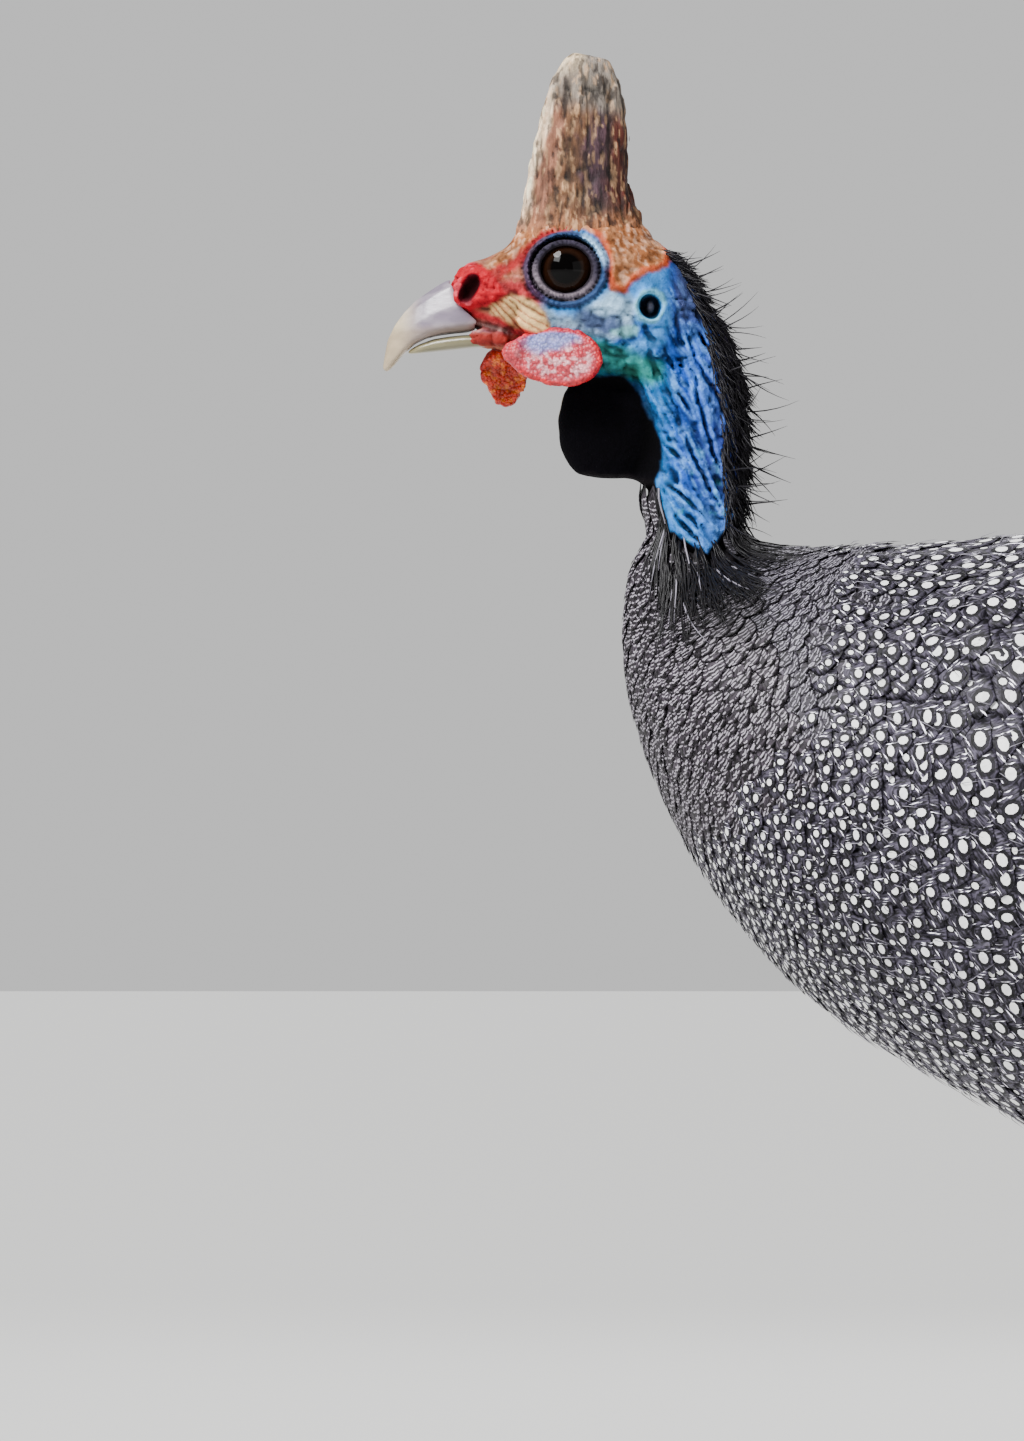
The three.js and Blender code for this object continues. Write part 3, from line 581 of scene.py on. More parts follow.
THROAT = [
    (-176, 327.5), (-166, 328.6), (-160, 328), (-156.5, 324.6), (-155.2, 320.4), (-152.6, 315.8),
    (-151, 312), (-151.8, 306.6), (-153, 303), (-153, 290), (-175, 290), (-185, 300), (-183, 322),
]
NAPE = [
    (-149.2, 356.6), (-144, 350), (-139.8, 342), (-137.4, 332), (-136, 322), (-135, 310),
    (-134.4, 296), (-134.4, 286), (-120, 286), (-122, 330), (-135, 362),
]
# Upper edge of the feathered collar: its height at places along the neck
FEATHER_X = [-160, -153, -151, -149.6, -145, -141, -139, -135.7, -133, -128]
FEATHER_Z = [306, 304, 297.5, 293, 290, 287.5, 290, 295, 300, 300]
# Long creases that run down and back over the blue skin
NECK_CREASES = [
    [(-147, 340.6), (-145.1, 336.1), (-143.1, 330.7), (-141, 326.6), (-138.6, 322.5), (-136.5, 317.6),
     (-134.1, 313.1)],
    [(-144.5, 339.8), (-142.3, 336.9), (-140.2, 333.6), (-138.4, 330)],
    [(-147.8, 334.4), (-146, 332.8), (-145.1, 330.3), (-143.5, 326.6), (-142.7, 322.5), (-141.5, 316.8),
     (-139.8, 311), (-137.3, 305.7), (-135.7, 301.6)],
    [(-148.8, 325.8), (-147.2, 323.3), (-145.1, 320.5), (-144.3, 318.4)],
    [(-146.4, 316), (-144.7, 311), (-142.7, 306.5), (-140.6, 302.4), (-137.8, 297.9), (-135.7, 294.6)],
    [(-150.9, 312.7), (-148, 309.8), (-146, 308.6)],
    [(-152.1, 304.9), (-149.3, 302.8), (-146.4, 300.8), (-143.5, 297.5), (-140.2, 294.2), (-139, 293)],
    [(-149.9, 299.1), (-147.6, 295), (-144.7, 291.7), (-141.5, 288.9)],
]


def fan_angle(x, z, side):
    """Direction from the nostril's rear edge, from which the creases of the cheek fan out"""
    return np.arctan2(z - 352.5, x + 197) + 0.1 * noise(side, 3, 9)


def crease_reach(x, z, side):
    """Distance in the side view to the nearest long crease of the neck"""
    sway = 2.2 * (noise(side, 4.0, 27) - 0.5)
    lines = [off_line(x + sway, z, line) for line in NECK_CREASES]
    return np.min([d + 0.9 * (2 * t - 1) ** 2 for d, t in lines], axis=0)


def head_folds(p):
    """Height of the folds, creases and bumps of the bare skin"""
    x, y, z = p[:, 0], np.abs(p[:, 1]), p[:, 2]
    side = np.stack([x, y, z], axis=1)
    h = np.zeros(len(p))
    round_eye = eye_round(x, z)
    flank = smooth(2.0, 5.5, y)
    # Dark folds round the lids
    h += flank * 0.75 * np.exp(-(((round_eye - 8.5) / 0.5) ** 2))
    h -= flank * 0.7 * np.exp(-(((round_eye - 7.5) / 0.38) ** 2))
    h -= flank * 0.35 * np.exp(-(((round_eye - 9.5) / 0.5) ** 2))
    round_about = np.arctan2(z - EYE_Z, x - EYE_X)
    h += flank * smooth(10.6, 9.4, round_eye) * smooth(5.9, 6.6, round_eye) * 0.22 * np.sin(
        46 * round_about + 9 * noise(side, 2.2, 28)
    )
    # Red, bumpy cere and lores
    cere = smooth(-0.6, 1.0, inside(x, z, CERE))
    h += cere * (0.9 * ridged(side, 1.4, 3) + 0.05)
    lores = smooth(0.0, 3.0, 5.5 - off_line(x, z, [(-190, 350), (-183, 350), (-181, 345)])[0])
    h += 0.4 * lores * ridged(side, 1.3, 5)
    # Fan of creases over the cheek
    cheek = smooth(-0.5, 1.2, inside(x, z, CHEEK))
    h += cheek * (0.42 * np.abs(np.sin(fan_angle(x, z, side) * 34)) - 0.1)
    # Wrinkled skin below and behind the eye
    calm = 1 - np.clip(cere + cheek, 0, 1)
    bald_throat = smooth(-1.0, 1.0, inside(x, z, THROAT))
    covered = smooth(0, 3, np.interp(x, FEATHER_X, FEATHER_Z) - z)
    below = smooth(352, 345, z) * calm * (1 - 0.9 * bald_throat) * (1 - covered)
    h += below * 0.6 * (ridged(side, 2.6, 11, (0.8, 1, 1.2)) - 0.64)
    h += below * 0.3 * (ridged(side, 1.1, 12) - 0.6)
    # Ear: a raised rim
    ear = np.hypot(x - EAR_X, z - EAR_Z)
    h += flank * 0.8 * np.exp(-(((ear - 3.35) / 0.62) ** 2))
    crease, _ = off_line(x, z, [(-155.5, 340), (-155, 338), (-153.6, 336.6)])
    h -= flank * 0.8 * np.exp(-((crease / 0.7) ** 2))
    # Jaw folds that hang below the ear
    jaw = smooth(5.0, 0.0, off_line(x, z, [(-166, 331), (-158, 331.5), (-152, 336)])[0])
    h += jaw * 0.8 * (ridged(side, 4.0, 15, (1, 1, 1.3)) - 0.55)
    # Long slanting folds of the neck, finer corrugations between them
    neck = smooth(341, 330, z) * smooth(-0.5, 1.5, -inside(x, z, THROAT))
    neck = np.maximum(neck, smooth(-152.5, -150, x) * smooth(352, 344, z)) * (1 - covered)
    along, across = 0.42 * x - 0.91 * z, 0.91 * x + 0.42 * z
    lie = np.stack([across, y * 0.8, along], axis=1)
    bend = np.stack([across + 1.6 * noise(side, 9, 21), y * 0.8, along], axis=1)
    fold = crease_reach(x, z, side)
    h += neck * (0.55 * np.exp(-(((fold - 1.2) / 0.7) ** 2)) - 0.8 * np.exp(-((fold / 0.42) ** 2)))
    h += neck * 0.6 * (ridged(bend, 2.4, 17, (1, 1, 0.14)) - 0.62)
    h += neck * 0.55 * (ridged(bend, 1.2, 19, (1, 1, 0.25)) - 0.6)
    h += neck * 0.2 * (ridged(lie, 0.9, 23, (0.35, 1, 1.2)) - 0.5)
    # The skin lies deeper where the collar's feathers cover it
    h -= 2.8 * covered
    # The crown is rough and fibrous
    crown = smooth(-0.5, 1.5, inside(x, z, CROWN))
    h += crown * 0.35 * (ridged(side, 1.3, 25, (1, 1, 0.5)) - 0.5)
    h += crown * flank * 0.5 * np.exp(-((inside(x, z, CROWN) - 1.0) ** 2)) * smooth(-168, -162, x)
    return h


def head_colours(p):
    """Colours of the bare skin from the fields of the head"""
    x, y, z = p[:, 0], np.abs(p[:, 1]), p[:, 2]
    side = np.stack([x, y, z], axis=1)
    wander = 1.6 * (noise(side, 3.0, 31) - 0.5) + 0.8 * (noise(side, 1.2, 32) - 0.5)
    spot = noise(side, 2.2, 33)
    tone = one_colour("163f94", p)

    def paint(mask, colour, strength=1.0):
        nonlocal tone
        tone = blended(tone, [(mask, colour, strength)])

    def beside(points, wide, narrow, sway=0):
        """1 on a bent line of the side view, 0 further off than wide"""
        return smooth(wide, narrow, off_line(x, z, points)[0] + sway)

    def over(field, soft=0.7):
        return smooth(-soft, soft, inside(x, z, field) + wander)

    # Blue of the neck: painted highlight along the folds and painted shade in the creases, violet behind,
    # greener in front and at its lower end
    along, across = 0.42 * x - 0.91 * z, 0.91 * x + 0.42 * z
    streak = noise(np.stack([across, y, along], axis=1), 1.5, 35, (1, 1, 0.2))
    paint(smooth(0.5, 0.7, streak), "2c60c4")
    paint(smooth(0.45, 0.25, streak), "10286c")
    bend = across + 1.6 * noise(side, 9, 21)
    strand = noise(np.stack([bend, y, along], axis=1), 0.75, 38, (1, 1, 0.2))
    paint(smooth(0.54, 0.68, strand), "5a94dc", 0.6)
    paint(smooth(0.45, 0.3, strand), "0c1c58", 0.75)
    fold = crease_reach(x, z, side)
    thin = ridged(np.stack([bend, 0.8 * y, along], axis=1), 2.4, 17, (1, 1, 0.14))
    on_neck = smooth(-153, -150, x)
    # Painted shade in the fine and the long creases, and a painted highlight on the fold beside each long
    # crease
    paint(smooth(0.32, 0.12, thin) * on_neck, "0a1440", 0.6)
    paint(smooth(0.62, 0.1, fold) * on_neck, "0a1440", 0.75)
    paint(np.exp(-(((fold - 1.15) / 0.45) ** 2)) * smooth(-152, -149, x), "5a94dc", 0.35)
    paint(smooth(-146, -136, x) * smooth(345, 330, z), "4a56a8", 0.5)
    paint(smooth(-146, -152, x + wander) * smooth(345, 320, z), "1d6a94", 0.5)
    paint(smooth(306, 292, z + wander), "3a86c0", 0.3)
    paint(smooth(0.6, 0.8, spot) * smooth(320, 300, z), "4fb0b0", 0.4)
    # Head: pale blue-white under the eye, turquoise and green along the jaw
    paint(smooth(338, 342, z) * smooth(-148, -153, x), "3a80c4")
    paint(over(PALE, 1.4), "9cc0da", 0.9)
    paint(beside([(-158.5, 333), (-152.5, 337), (-151.5, 342)], 3.2, 0.6), "4a92d8", 0.8)
    paint(beside([(-169, 334.5), (-160, 331.5), (-154, 329)], 4.6, 1.2, wander), "2c8478", 0.9)
    paint(beside([(-166, 330), (-158, 328.5)], 2.6, 0.6, wander), "0f4034", 0.85)
    paint(beside([(-169, 341.6), (-163, 339.8)], 3.8, 0.8, 1.7 * wander), "2c3566", 0.85)
    paint(beside([(-162, 337.6), (-158, 338.4)], 1.6, 0.4, wander), "7fc4c0", 0.6)
    # Back of the head and nape
    back = smooth(-150.5, -146.5, x + wander) * smooth(336, 344, z)
    paint(back, "3c4466", 0.85)
    paint(over(NAPE, 1.6), "241c30")
    # Tan and rose skin round the bill's base and before the eye
    rosy = smooth(-177, -181, x + wander) * smooth(337, 340, z)
    paint(rosy, "9a5a46")
    paint(rosy * smooth(0.45, 0.65, spot), "b8806a", 0.7)
    paint(smooth(-180, -184, x) * smooth(339.5, 337.5, z), "8c5038")
    # Tan horny crown and the lobe behind the eye, with a red lower edge
    crown = inside(x, z, CROWN) + wander
    on_crown = smooth(-0.7, 0.5, crown)
    paint(on_crown, "8c5634")
    paint(on_crown * smooth(0.45, 0.75, spot), "c08a64", 0.8)
    wisp = noise(side, 0.8, 37, (1, 1, 0.35))
    paint(on_crown * smooth(0.56, 0.68, wisp), "d0a488", 0.6)
    paint(on_crown * smooth(0.44, 0.32, wisp), "3c1e10", 0.5)
    paint(smooth(1.4, 0.2, np.abs(crown - 0.6)) * smooth(-170, -165, x), "a83c20", 0.8)
    # Red brow line, cere and lores, yellowish cheek with red edges
    lore = beside([(-189, 347), (-185, 347.5), (-182, 346)], 4.4, 1.8, wander)
    paint(lore, "98202c", 0.88)
    paint(lore * smooth(0.56, 0.7, spot), "c47c5c", 0.6)
    cheek = over(CHEEK, 0.6)
    paint(cheek, "c4a06c")
    fan = np.abs(np.sin(fan_angle(x, z, side) * 34))
    paint(cheek * smooth(0.5, 0.15, fan), "8c3c2c", 0.75)
    paint(cheek * smooth(0.6, 0.3, spot) * smooth(-181, -186, x), "a83c34", 0.6)
    edge, _ = off_line(x, z, [(-198.8, 343.6), (-191.5, 341.6), (-185.6, 338.4), (-177.4, 336.8)])
    paint(smooth(1.5, 0.5, edge + 0.5 * wander), "a81426", 0.9)
    gape, _ = off_line(x, z, [(-197, 341), (-191, 339.6), (-187, 338.4)])
    paint(smooth(1.6, 0.6, gape + 0.3 * wander), "8c4444", 0.85)
    paint(smooth(0.5, 0.2, gape + 0.4 * wander), "c49a94", 0.6)
    corner, _ = off_line(x, z, [(-194.5, 336.6), (-186, 336.4)])
    paint(smooth(2.2, 1.0, corner + 0.4 * wander), "6e1218", 0.85)
    cere = over(CERE, 0.5)
    paint(cere, "98101e")
    paint(cere * smooth(0.55, 0.72, spot), "c84a58", 0.7)
    # Painted shade in the nostril's pit
    hole, _ = off_line(x, z, [(NOSTRIL_X - 0.9, NOSTRIL_Z - 1.6), (NOSTRIL_X + 0.9, NOSTRIL_Z + 1.6)])
    paint(smooth(2.3, 1.5, hole), "3a0c14", 0.95)
    # Black throat, its black partly the throat's own and partly painted shade under the head, with a thin
    # pale line along its front edge
    throat = inside(x, z, THROAT) + 0.8 * wander
    paint(smooth(-0.6, 0.6, throat), "040306")
    front, _ = off_line(x, z, [(-174.8, 325), (-174.1, 315.8), (-171.4, 310), (-165.6, 303.6)])
    paint(smooth(1.0, 0.5, front) * smooth(1.0, 0.4, y), "a89c80", 0.6)
    # Painted shade: the skin under the collar's feathers is near-black, so the gaps between them read dark
    paint(smooth(-0.6, 0.9, np.interp(x, FEATHER_X, FEATHER_Z) - z + 1.4 * wander), "0c090c")
    # Ear: painted shade in its hole, grey tuft in the middle, pale green rim
    ear = np.hypot((x - EAR_X) * 1.08, z - EAR_Z) + 0.35 * wander
    paint(smooth(1.1, 0.2, np.abs(ear - 3.4) + 0.9 * wander), "6aa696", 0.5)
    paint(smooth(3.0, 2.0, ear + 0.4 * wander), "14101a", 0.95)
    tuft = noise(np.stack([x + 0.5 * z, y, z], axis=1), 0.6, 36, (1, 1, 0.3))
    grey = np.hypot((x - EAR_X) * 1.35, z - EAR_Z) + 0.8 * wander + 1.6 * (0.5 - tuft)
    paint(smooth(1.9, 0.6, grey), "4e4b54", 0.75)
    # Lids: a thick grey-lilac ring, dark folds outside it, a pale blue patch behind and above
    round_eye = eye_round(x, z)
    flank = smooth(2.0, 5.0, y)
    paint(flank * smooth(9.9, 9.0, round_eye + 0.4 * wander), "232a44", 0.9)
    behind = flank * smooth(-170.5, -168.5, x) * smooth(352, 356, z) * smooth(9.9, 9.4, round_eye)
    paint(behind * smooth(7.4, 7.9, round_eye), "8db8e0", 0.95)
    ring = round_eye + 0.3 * wander
    paint(flank * smooth(7.8, 7.3, ring), "2c2834")
    paint(flank * smooth(7.8, 7.3, ring) * smooth(354, 348, z + 0.3 * (x - EYE_X)), "6a6068", 0.85)
    stubble = smooth(0.52, 0.6, noise(side, 0.7, 39)) * smooth(-172, -176, x) * smooth(353, 357, z)
    paint(flank * smooth(10.4, 9.6, ring) * stubble, "0c0a10", 0.8)
    paint(flank * smooth(6.2, 5.8, round_eye), "1c181e")
    brow_line = [(-191.4, 350.6), (-186.5, 353), (-182.6, 356.6), (-178.4, 360), (-173, 362)]
    brow, share = off_line(x, z, brow_line)
    red = smooth(2.5, 0.8, brow + wander * 0.9 + 0.7 * share) * smooth(8.9, 9.5, round_eye)
    paint(red, "920f1c", 0.92)
    return tone


clay = Clay((-207, -17.5, 279), (-118, 17.5, 372), 0.42)
flesh = np.minimum(clay.solid("head"), clay.solid("neck_upper"))
for name in ("neck_lower", "eye_left", "eye_right"):
    flesh = np.minimum(flesh, clay.solid(name))
# A web of black skin joins the throat lobe to the neck
clay_web = egg((-162.5, 0, 311.5), (11, 5.4, 8.2))
# The nape locks of the solids give way to hairs here, so the neck ends at its own round
x, y, z = np.meshgrid(*clay.axes, indexing="ij", sparse=True)
neck_z = [272, 286, 299.7, 313.5, 327, 340, 352]
neck_x = np.interp(z, neck_z, [-140, -144.1, -145.1, -144.1, -145.3, -149.2, -156])
neck_deep = np.interp(z, neck_z, [20, 15.2, 12.4, 12, 12.8, 11.5, 12])
neck_wide = np.interp(z, neck_z, [22, 15, 11, 10.2, 10.8, 10.4, 12])
tube = (np.hypot((x - neck_x) / neck_deep, y / neck_wide) - 1) * neck_deep - 0.2
flesh = np.where((x > neck_x) & (z < 352), np.maximum(flesh, tube), flesh).astype(np.float32)
flesh = soft_min(flesh, clay_web(x, y, z).astype(np.float32), 3.0)
clay.d = blur(flesh - 0.5, 1.9) + 0.5
casque_space = clay.solid("casque")
climb = 0.2 + 0.13 * np.clip(z - 360, 0, 60) + 0 * (x + y)
clay.d = soft_min(clay.d, blur(casque_space, 1.6) + climb.astype(np.float32), 4.0)


def lid(x, y, z):
    """The thick rim of skin round an eye"""
    out = np.abs(y) - (11.3 - 0.05 * (x - EYE_X))
    return np.hypot(eye_round(x, z) - 6.3, out * 0.9) - 0.98


def opening(x, y, z):
    """The round gap between the lids"""
    return np.maximum(eye_round(x, z) - 5.45, 6 - np.abs(y))


for _, y_side in SIDES:
    # Soft corner of the gape, in which the rear of the lower bill ends
    gape_at = (-189.6, y_side * 4.4, 336.6)
    clay.add(gape_at, 9, egg(gape_at, (6.2, 3.4, 2.2), -0.1), 1.2)
for _, y_side in SIDES:
    eye_at = (EYE_X, y_side * EYE_Y, EYE_Z)
    clay.add(eye_at, 14, lid, 0.7)
    clay.take(eye_at, 14, opening, 0.5)
clay.raise_by(head_folds)
for _, y_side in SIDES:
    eye_at = (EYE_X, y_side * EYE_Y, EYE_Z)
    ear_at = (EAR_X, y_side * 12, EAR_Z)
    nostril_at = (NOSTRIL_X, y_side * 6.5, NOSTRIL_Z)
    clay.take(eye_at, 12, egg(eye_at, tuple(v + 0.12 for v in EYE_SIZE)))
    clay.take(ear_at, 8, egg((EAR_X, y_side * 13.2, EAR_Z), (2.4, 4.2, 3.0), 0.3), 0.6)
    clay.add(ear_at, 6, egg((EAR_X, y_side * 10.2, EAR_Z), (1.0, 1.7, 1.7)), 0.7)
    pit = egg((NOSTRIL_X, y_side * 7.6, NOSTRIL_Z), (1.9, 3.0, 3.6), -0.54)
    clay.take(nostril_at, 8, pit, 0.5)
head_points, head_quads = clay.skin()
head_relief = clay.relief(head_points)
# Painted shade and highlight: the colours darken in the creases and lighten on the ridges, by the relief of
# the surface
head_tones = head_colours(head_points) * np.clip(0.86 + 2.2 * head_relief, 0.3, 1.55)[:, None]
head_tones = np.clip(head_tones, 0, 1)


# Casque
casque_clay = Clay((-190, -13, 350), (-156, 13, 408), 0.4)
casque_clay.d = blur(casque_clay.solid("casque") - 0.3, 1.15) + 0.25


def casque_fibres(p):
    """Height of the horn's lengthwise fibres"""
    h = 0.6 * (ridged(p, 1.3, 41, (1, 1, 0.22)) - 0.5)
    h += 0.4 * (ridged(p, 2.6, 42, (1, 1, 0.4)) - 0.5)
    return h * smooth(404, 396, p[:, 2]) + 0.12 * noise(p, 0.8, 43)


def casque_colours(p):
    """Tan horn, darker behind and greyer towards the tip, with a painted highlight along its front edge"""
    x, y, z = p[:, 0], p[:, 1], p[:, 2]
    # Share of the way from the front edge to the rear edge at this height
    front = np.interp(z, [352, 361, 373, 387, 399, 403], [-187.5, -185, -183.2, -178.6, -175, -172])
    rear = np.interp(z, [352, 361, 373, 387, 399, 403], [-154, -155.5, -158.4, -159, -161, -164])
    across = (x - front) / (rear - front)
    wander = 0.5 * (noise(p, 4.0, 45, (1, 1, 0.5)) - 0.5) + 0.3 * (noise(p, 1.5, 46, (1, 1, 0.4)) - 0.5)
    rear_share = smooth(0.45, 0.62, across + wander) * smooth(0.9, 0.7, across)
    fields = (
        (smooth(0.3, 0.5, across + wander) * smooth(357, 366, z), "4a3222", 0.8),
        (rear_share * smooth(362, 372, z), "3c2a3a", 0.75),
        (smooth(0.72, 0.84, across + 0.5 * wander) * smooth(362, 370, z), "431510", 0.85),
        (smooth(0.3, 0.2, across + 0.5 * wander), "7e5240", 0.8),
        # The pale strip along the front edge is a painted highlight where the light falls
        (smooth(0.12, 0.05, across + 0.2 * wander) * smooth(360, 368, z), "d8bea0", 0.95),
        (smooth(387, 393, z - 5 * (0.5 - across) + 8 * wander), "7a7268", 0.85),
        (smooth(396, 402, z) * smooth(0.5, 0.2, across), "c4ae8c", 0.8),
        (smooth(368, 359, z + 6 * wander), "8c5634", 0.85),
        (smooth(0.55, 0.66, noise(p, 0.75, 47, (1, 1, 0.25))), "c09870", 0.45),
        (smooth(0.48, 0.34, noise(p, 0.9, 48, (1, 1, 0.25))), "120808", 0.75),
    )
    return blended(one_colour("6c4a32", p), fields)


casque_clay.raise_by(casque_fibres)
points, quads = casque_clay.skin()
casque = mesh_piece("casque_horn", points, quads, horn_material)
# Painted shade and highlight: the horn's colours darken in its creases and lighten on its ridges
proud = np.clip(1 + 2.4 * casque_clay.relief(points), 0.3, 1.8)[:, None]
paint_points(casque, np.clip(casque_colours(points) * proud, 0, 1))
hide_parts("casque")
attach(casque, "root")


# Bill
for name, node_name in (("upper_bill", "bill_upper"), ("lower_bill", "bill_lower")):
    low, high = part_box(node_name)
    bill_clay = Clay(np.array(low) / MM - 2, np.array(high) / MM + 2, 0.3)
    bill_clay.d = blur(bill_clay.solid(node_name) - 0.25, 1.3) + 0.2
    if name == "lower_bill":  # its lower edge rises towards the throat
        bx, by, bz = np.meshgrid(*bill_clay.axes, indexing="ij", sparse=True)
        edge = 333.2 + 0.10 * np.clip(bx + 210.4, 0, 30) - bz + 0 * by
        bill_clay.d = -soft_min(-bill_clay.d, -edge.astype(np.float32), 1.2)
    points, quads = bill_clay.skin()
    x, y, z = points.T
    lower = float(name == "lower_bill")
    lilac = noise(points, 3.0, 51, (0.5, 1, 1))
    fields = (
        (smooth(0.5, 0.7, lilac), "cfc9cf", 0.7),
        (smooth(0.45, 0.3, lilac), "74687c", 0.6),
        (smooth(-206, -213, x), "dcc9a2", 0.9),
        (smooth(-197, -192, x), "8c4c48", 0.6),
        (smooth(341, 338.6, z - 0.08 * (x + 200)), "9a8670", 0.6),
        (np.full(len(x), lower), "74704c", 0.85),
        (smooth(-205, -211, x) * lower, "b8aa7c", 0.7),
    )
    bill = mesh_piece(name, points, quads, bill_material)
    paint_points(bill, blended(one_colour("9d93a0", points), fields))
    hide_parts(node_name)
    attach(bill, "root")

# Eyes
for side, y_side in SIDES:
    rings, spokes = 40, 64
    theta = np.linspace(0, math.pi, rings + 1)
    points, faces = [], []
    for t in theta:
        for k in range(spokes):
            a = 2 * math.pi * k / spokes
            r, out = math.sin(t), math.cos(t)
            bulge = 0.35 * math.exp(-((t / 0.55) ** 2))
            points.append(
                (
                    EYE_X + EYE_SIZE[0] * r * math.cos(a),
                    y_side * (EYE_Y + EYE_SIZE[1] * out + bulge),
                    EYE_Z + EYE_SIZE[2] * r * math.sin(a),
                )
            )
    for i in range(rings):
        for k in range(spokes):
            a, b = i * spokes + k, i * spokes + (k + 1) % spokes
            quad = (a, b, b + spokes, a + spokes)
            faces.append(quad if y_side < 0 else quad[::-1])
    eyeball = mesh_piece("eyeball_" + side, points, faces, eye_material)
    p = np.array(points)
    off = np.hypot(p[:, 0] - EYE_X, p[:, 2] - EYE_Z)
    fleck = noise(p, 0.8, 61)
    iris = smooth(3.4, 4.0, off) * (0.3 + 0.4 * fleck)
    paint_points(eyeball, blended(one_colour("030202", p), [(iris, "2c180d", 1.0)]))
    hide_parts("eye_" + side)
    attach(eyeball, "root")

# Wattles
DROP = [
    (-195.4, 337.5), (-194.4, 333.5), (-192.9, 329), (-191, 325), (-189, 322.6), (-187.2, 321.8),
    (-185.4, 322.8), (-183.6, 325.4), (-182.6, 328.6), (-183.2, 333), (-184.5, 337.5),
]
for side in ("left", "right"):
    low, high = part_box("wattle_" + side)
    wattle_clay = Clay(np.array(low) / MM - 3, np.array(high) / MM + 3, 0.32)
    wattle_clay.d = blur(wattle_clay.solid("wattle_" + side) - 0.45, 1.3) + 0.3
    left = side == "left"
    if not left:  # the far one hangs as a pointed drop
        wx, wy, wz = np.meshgrid(*wattle_clay.axes, indexing="ij", sparse=True)
        trim = -inside(wx + 0 * wz, wz + 0 * wx, DROP) + 0 * wy
        wattle_clay.d = -soft_min(-wattle_clay.d, -trim.astype(np.float32), 0.8)
    root = np.array((-187.3, 333.6) if left else (-189.3, 335.0))
    tip = np.array((-165.3, 331.4) if left else (-186.3, 321.6))
    span = np.linalg.norm(tip - root)
    run = (tip - root) / span

    def flap(p):
        """Share from root to tip, and how near the rim, 1 at the rim"""
        along = ((p[:, 0] - root[0]) * run[0] + (p[:, 2] - root[1]) * run[1]) / span
        off = (-(p[:, 0] - root[0]) * run[1] + (p[:, 2] - root[1]) * run[0])
        half = (6.3 if left else 5.2) * (1 + 0.18 * (2 * along - 1))
        return along, np.sqrt((2 * along - 1) ** 2 + (off / half) ** 2)

    def papillae(p):
        """Height of the thick rim and the small bumps"""
        along, rim = flap(p)
        h = 0.5 * smooth(0.72, 0.98, rim) * smooth(0.02, 0.2, along)
        h += 0.22 * (ridged(p, 1.0, 71) - 0.5) + 0.3 * (ridged(p, 2.4, 72) - 0.5)
        return h

    wattle_clay.raise_by(papillae)
    points, quads = wattle_clay.skin()
    along, rim = flap(points)
    wander = 0.35 * (noise(points, 3.0, 73) - 0.5)
    fleck = noise(points, 1.0, 74)
    tone = one_colour("ac3440" if left else "a82810", points)
    if left:
        mauve = np.hypot(along - 0.42, (points[:, 2] - 337.2) / 12) * 1.6 + wander
        fields = (
            (smooth(0.5, 0.62, fleck) * smooth(0.9, 0.7, rim), "d8a0a6", 0.85),
            (smooth(0.62, 0.4, mauve), "6c74a8", 0.95),
            (smooth(0.28, 0.1, along + wander), "98242e", 0.7),
            (smooth(0.84, 0.95, rim + 0.3 * wander) * smooth(0.08, 0.2, along), "980814", 0.95),
            (smooth(0.56, 0.7, fleck) * smooth(0.86, 0.95, rim), "c82028", 0.7),
        )
    else:
        fields = (
            (smooth(0.52, 0.66, fleck), "d06a1c", 0.7),
            (smooth(0.84, 0.98, rim), "8c0c08", 0.9),
        )
    # Painted shade and highlight: the colours darken in the hollows and lighten on the rim and bumps, by
    # the relief
    proud = np.clip(1 + 1.8 * wattle_clay.relief(points, 0.9), 0.4, 1.6)[:, None]
    wattle = mesh_piece("wattle_skin_" + side, points, quads, wattle_material)
    paint_points(wattle, np.clip(blended(tone, fields) * proud, 0, 1))
    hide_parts("wattle_" + side)
    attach(wattle, "root")


# Grounds that feathers lie on
def bent(points, step):
    """Evenly spaced points along a smooth line through the given ones, and its directions"""
    p = np.array(points, float)
    p = np.vstack([2 * p[0] - p[1], p, 2 * p[-1] - p[-2]])
    dense = []
    for k in range(1, len(p) - 2):
        t = np.linspace(0, 1, 24, endpoint=False)[:, None]
        a, b, c, d = p[k - 1 : k + 3]
        square_part = (2 * a - 5 * b + 4 * c - d) * t**2
        cube_part = (3 * b - a - 3 * c + d) * t**3
        dense.append(0.5 * (2 * b + (c - a) * t + square_part + cube_part))
    dense = np.vstack([*dense, p[-2]])
    run = np.concatenate([[0], np.cumsum(np.linalg.norm(np.diff(dense, axis=0), axis=1))])
    at = np.linspace(0, run[-1], int(run[-1] / step) + 1)
    line = np.stack([np.interp(at, run, dense[:, k]) for k in range(dense.shape[1])], axis=1)
    ahead = np.gradient(line, axis=0)
    return line, ahead / np.linalg.norm(ahead, axis=1)[:, None]


def around(r, sigma):
    """A soft average of a table of ring sizes, along it and round it"""
    reach, taps = soft_taps(sigma)
    tall = np.pad(r, [(reach, reach), (0, 0)], "edge")
    r = sum(w * tall[k : k + len(r)] for k, w in enumerate(taps))
    return sum(w * np.roll(r, k - reach, axis=1) for k, w in enumerate(taps))


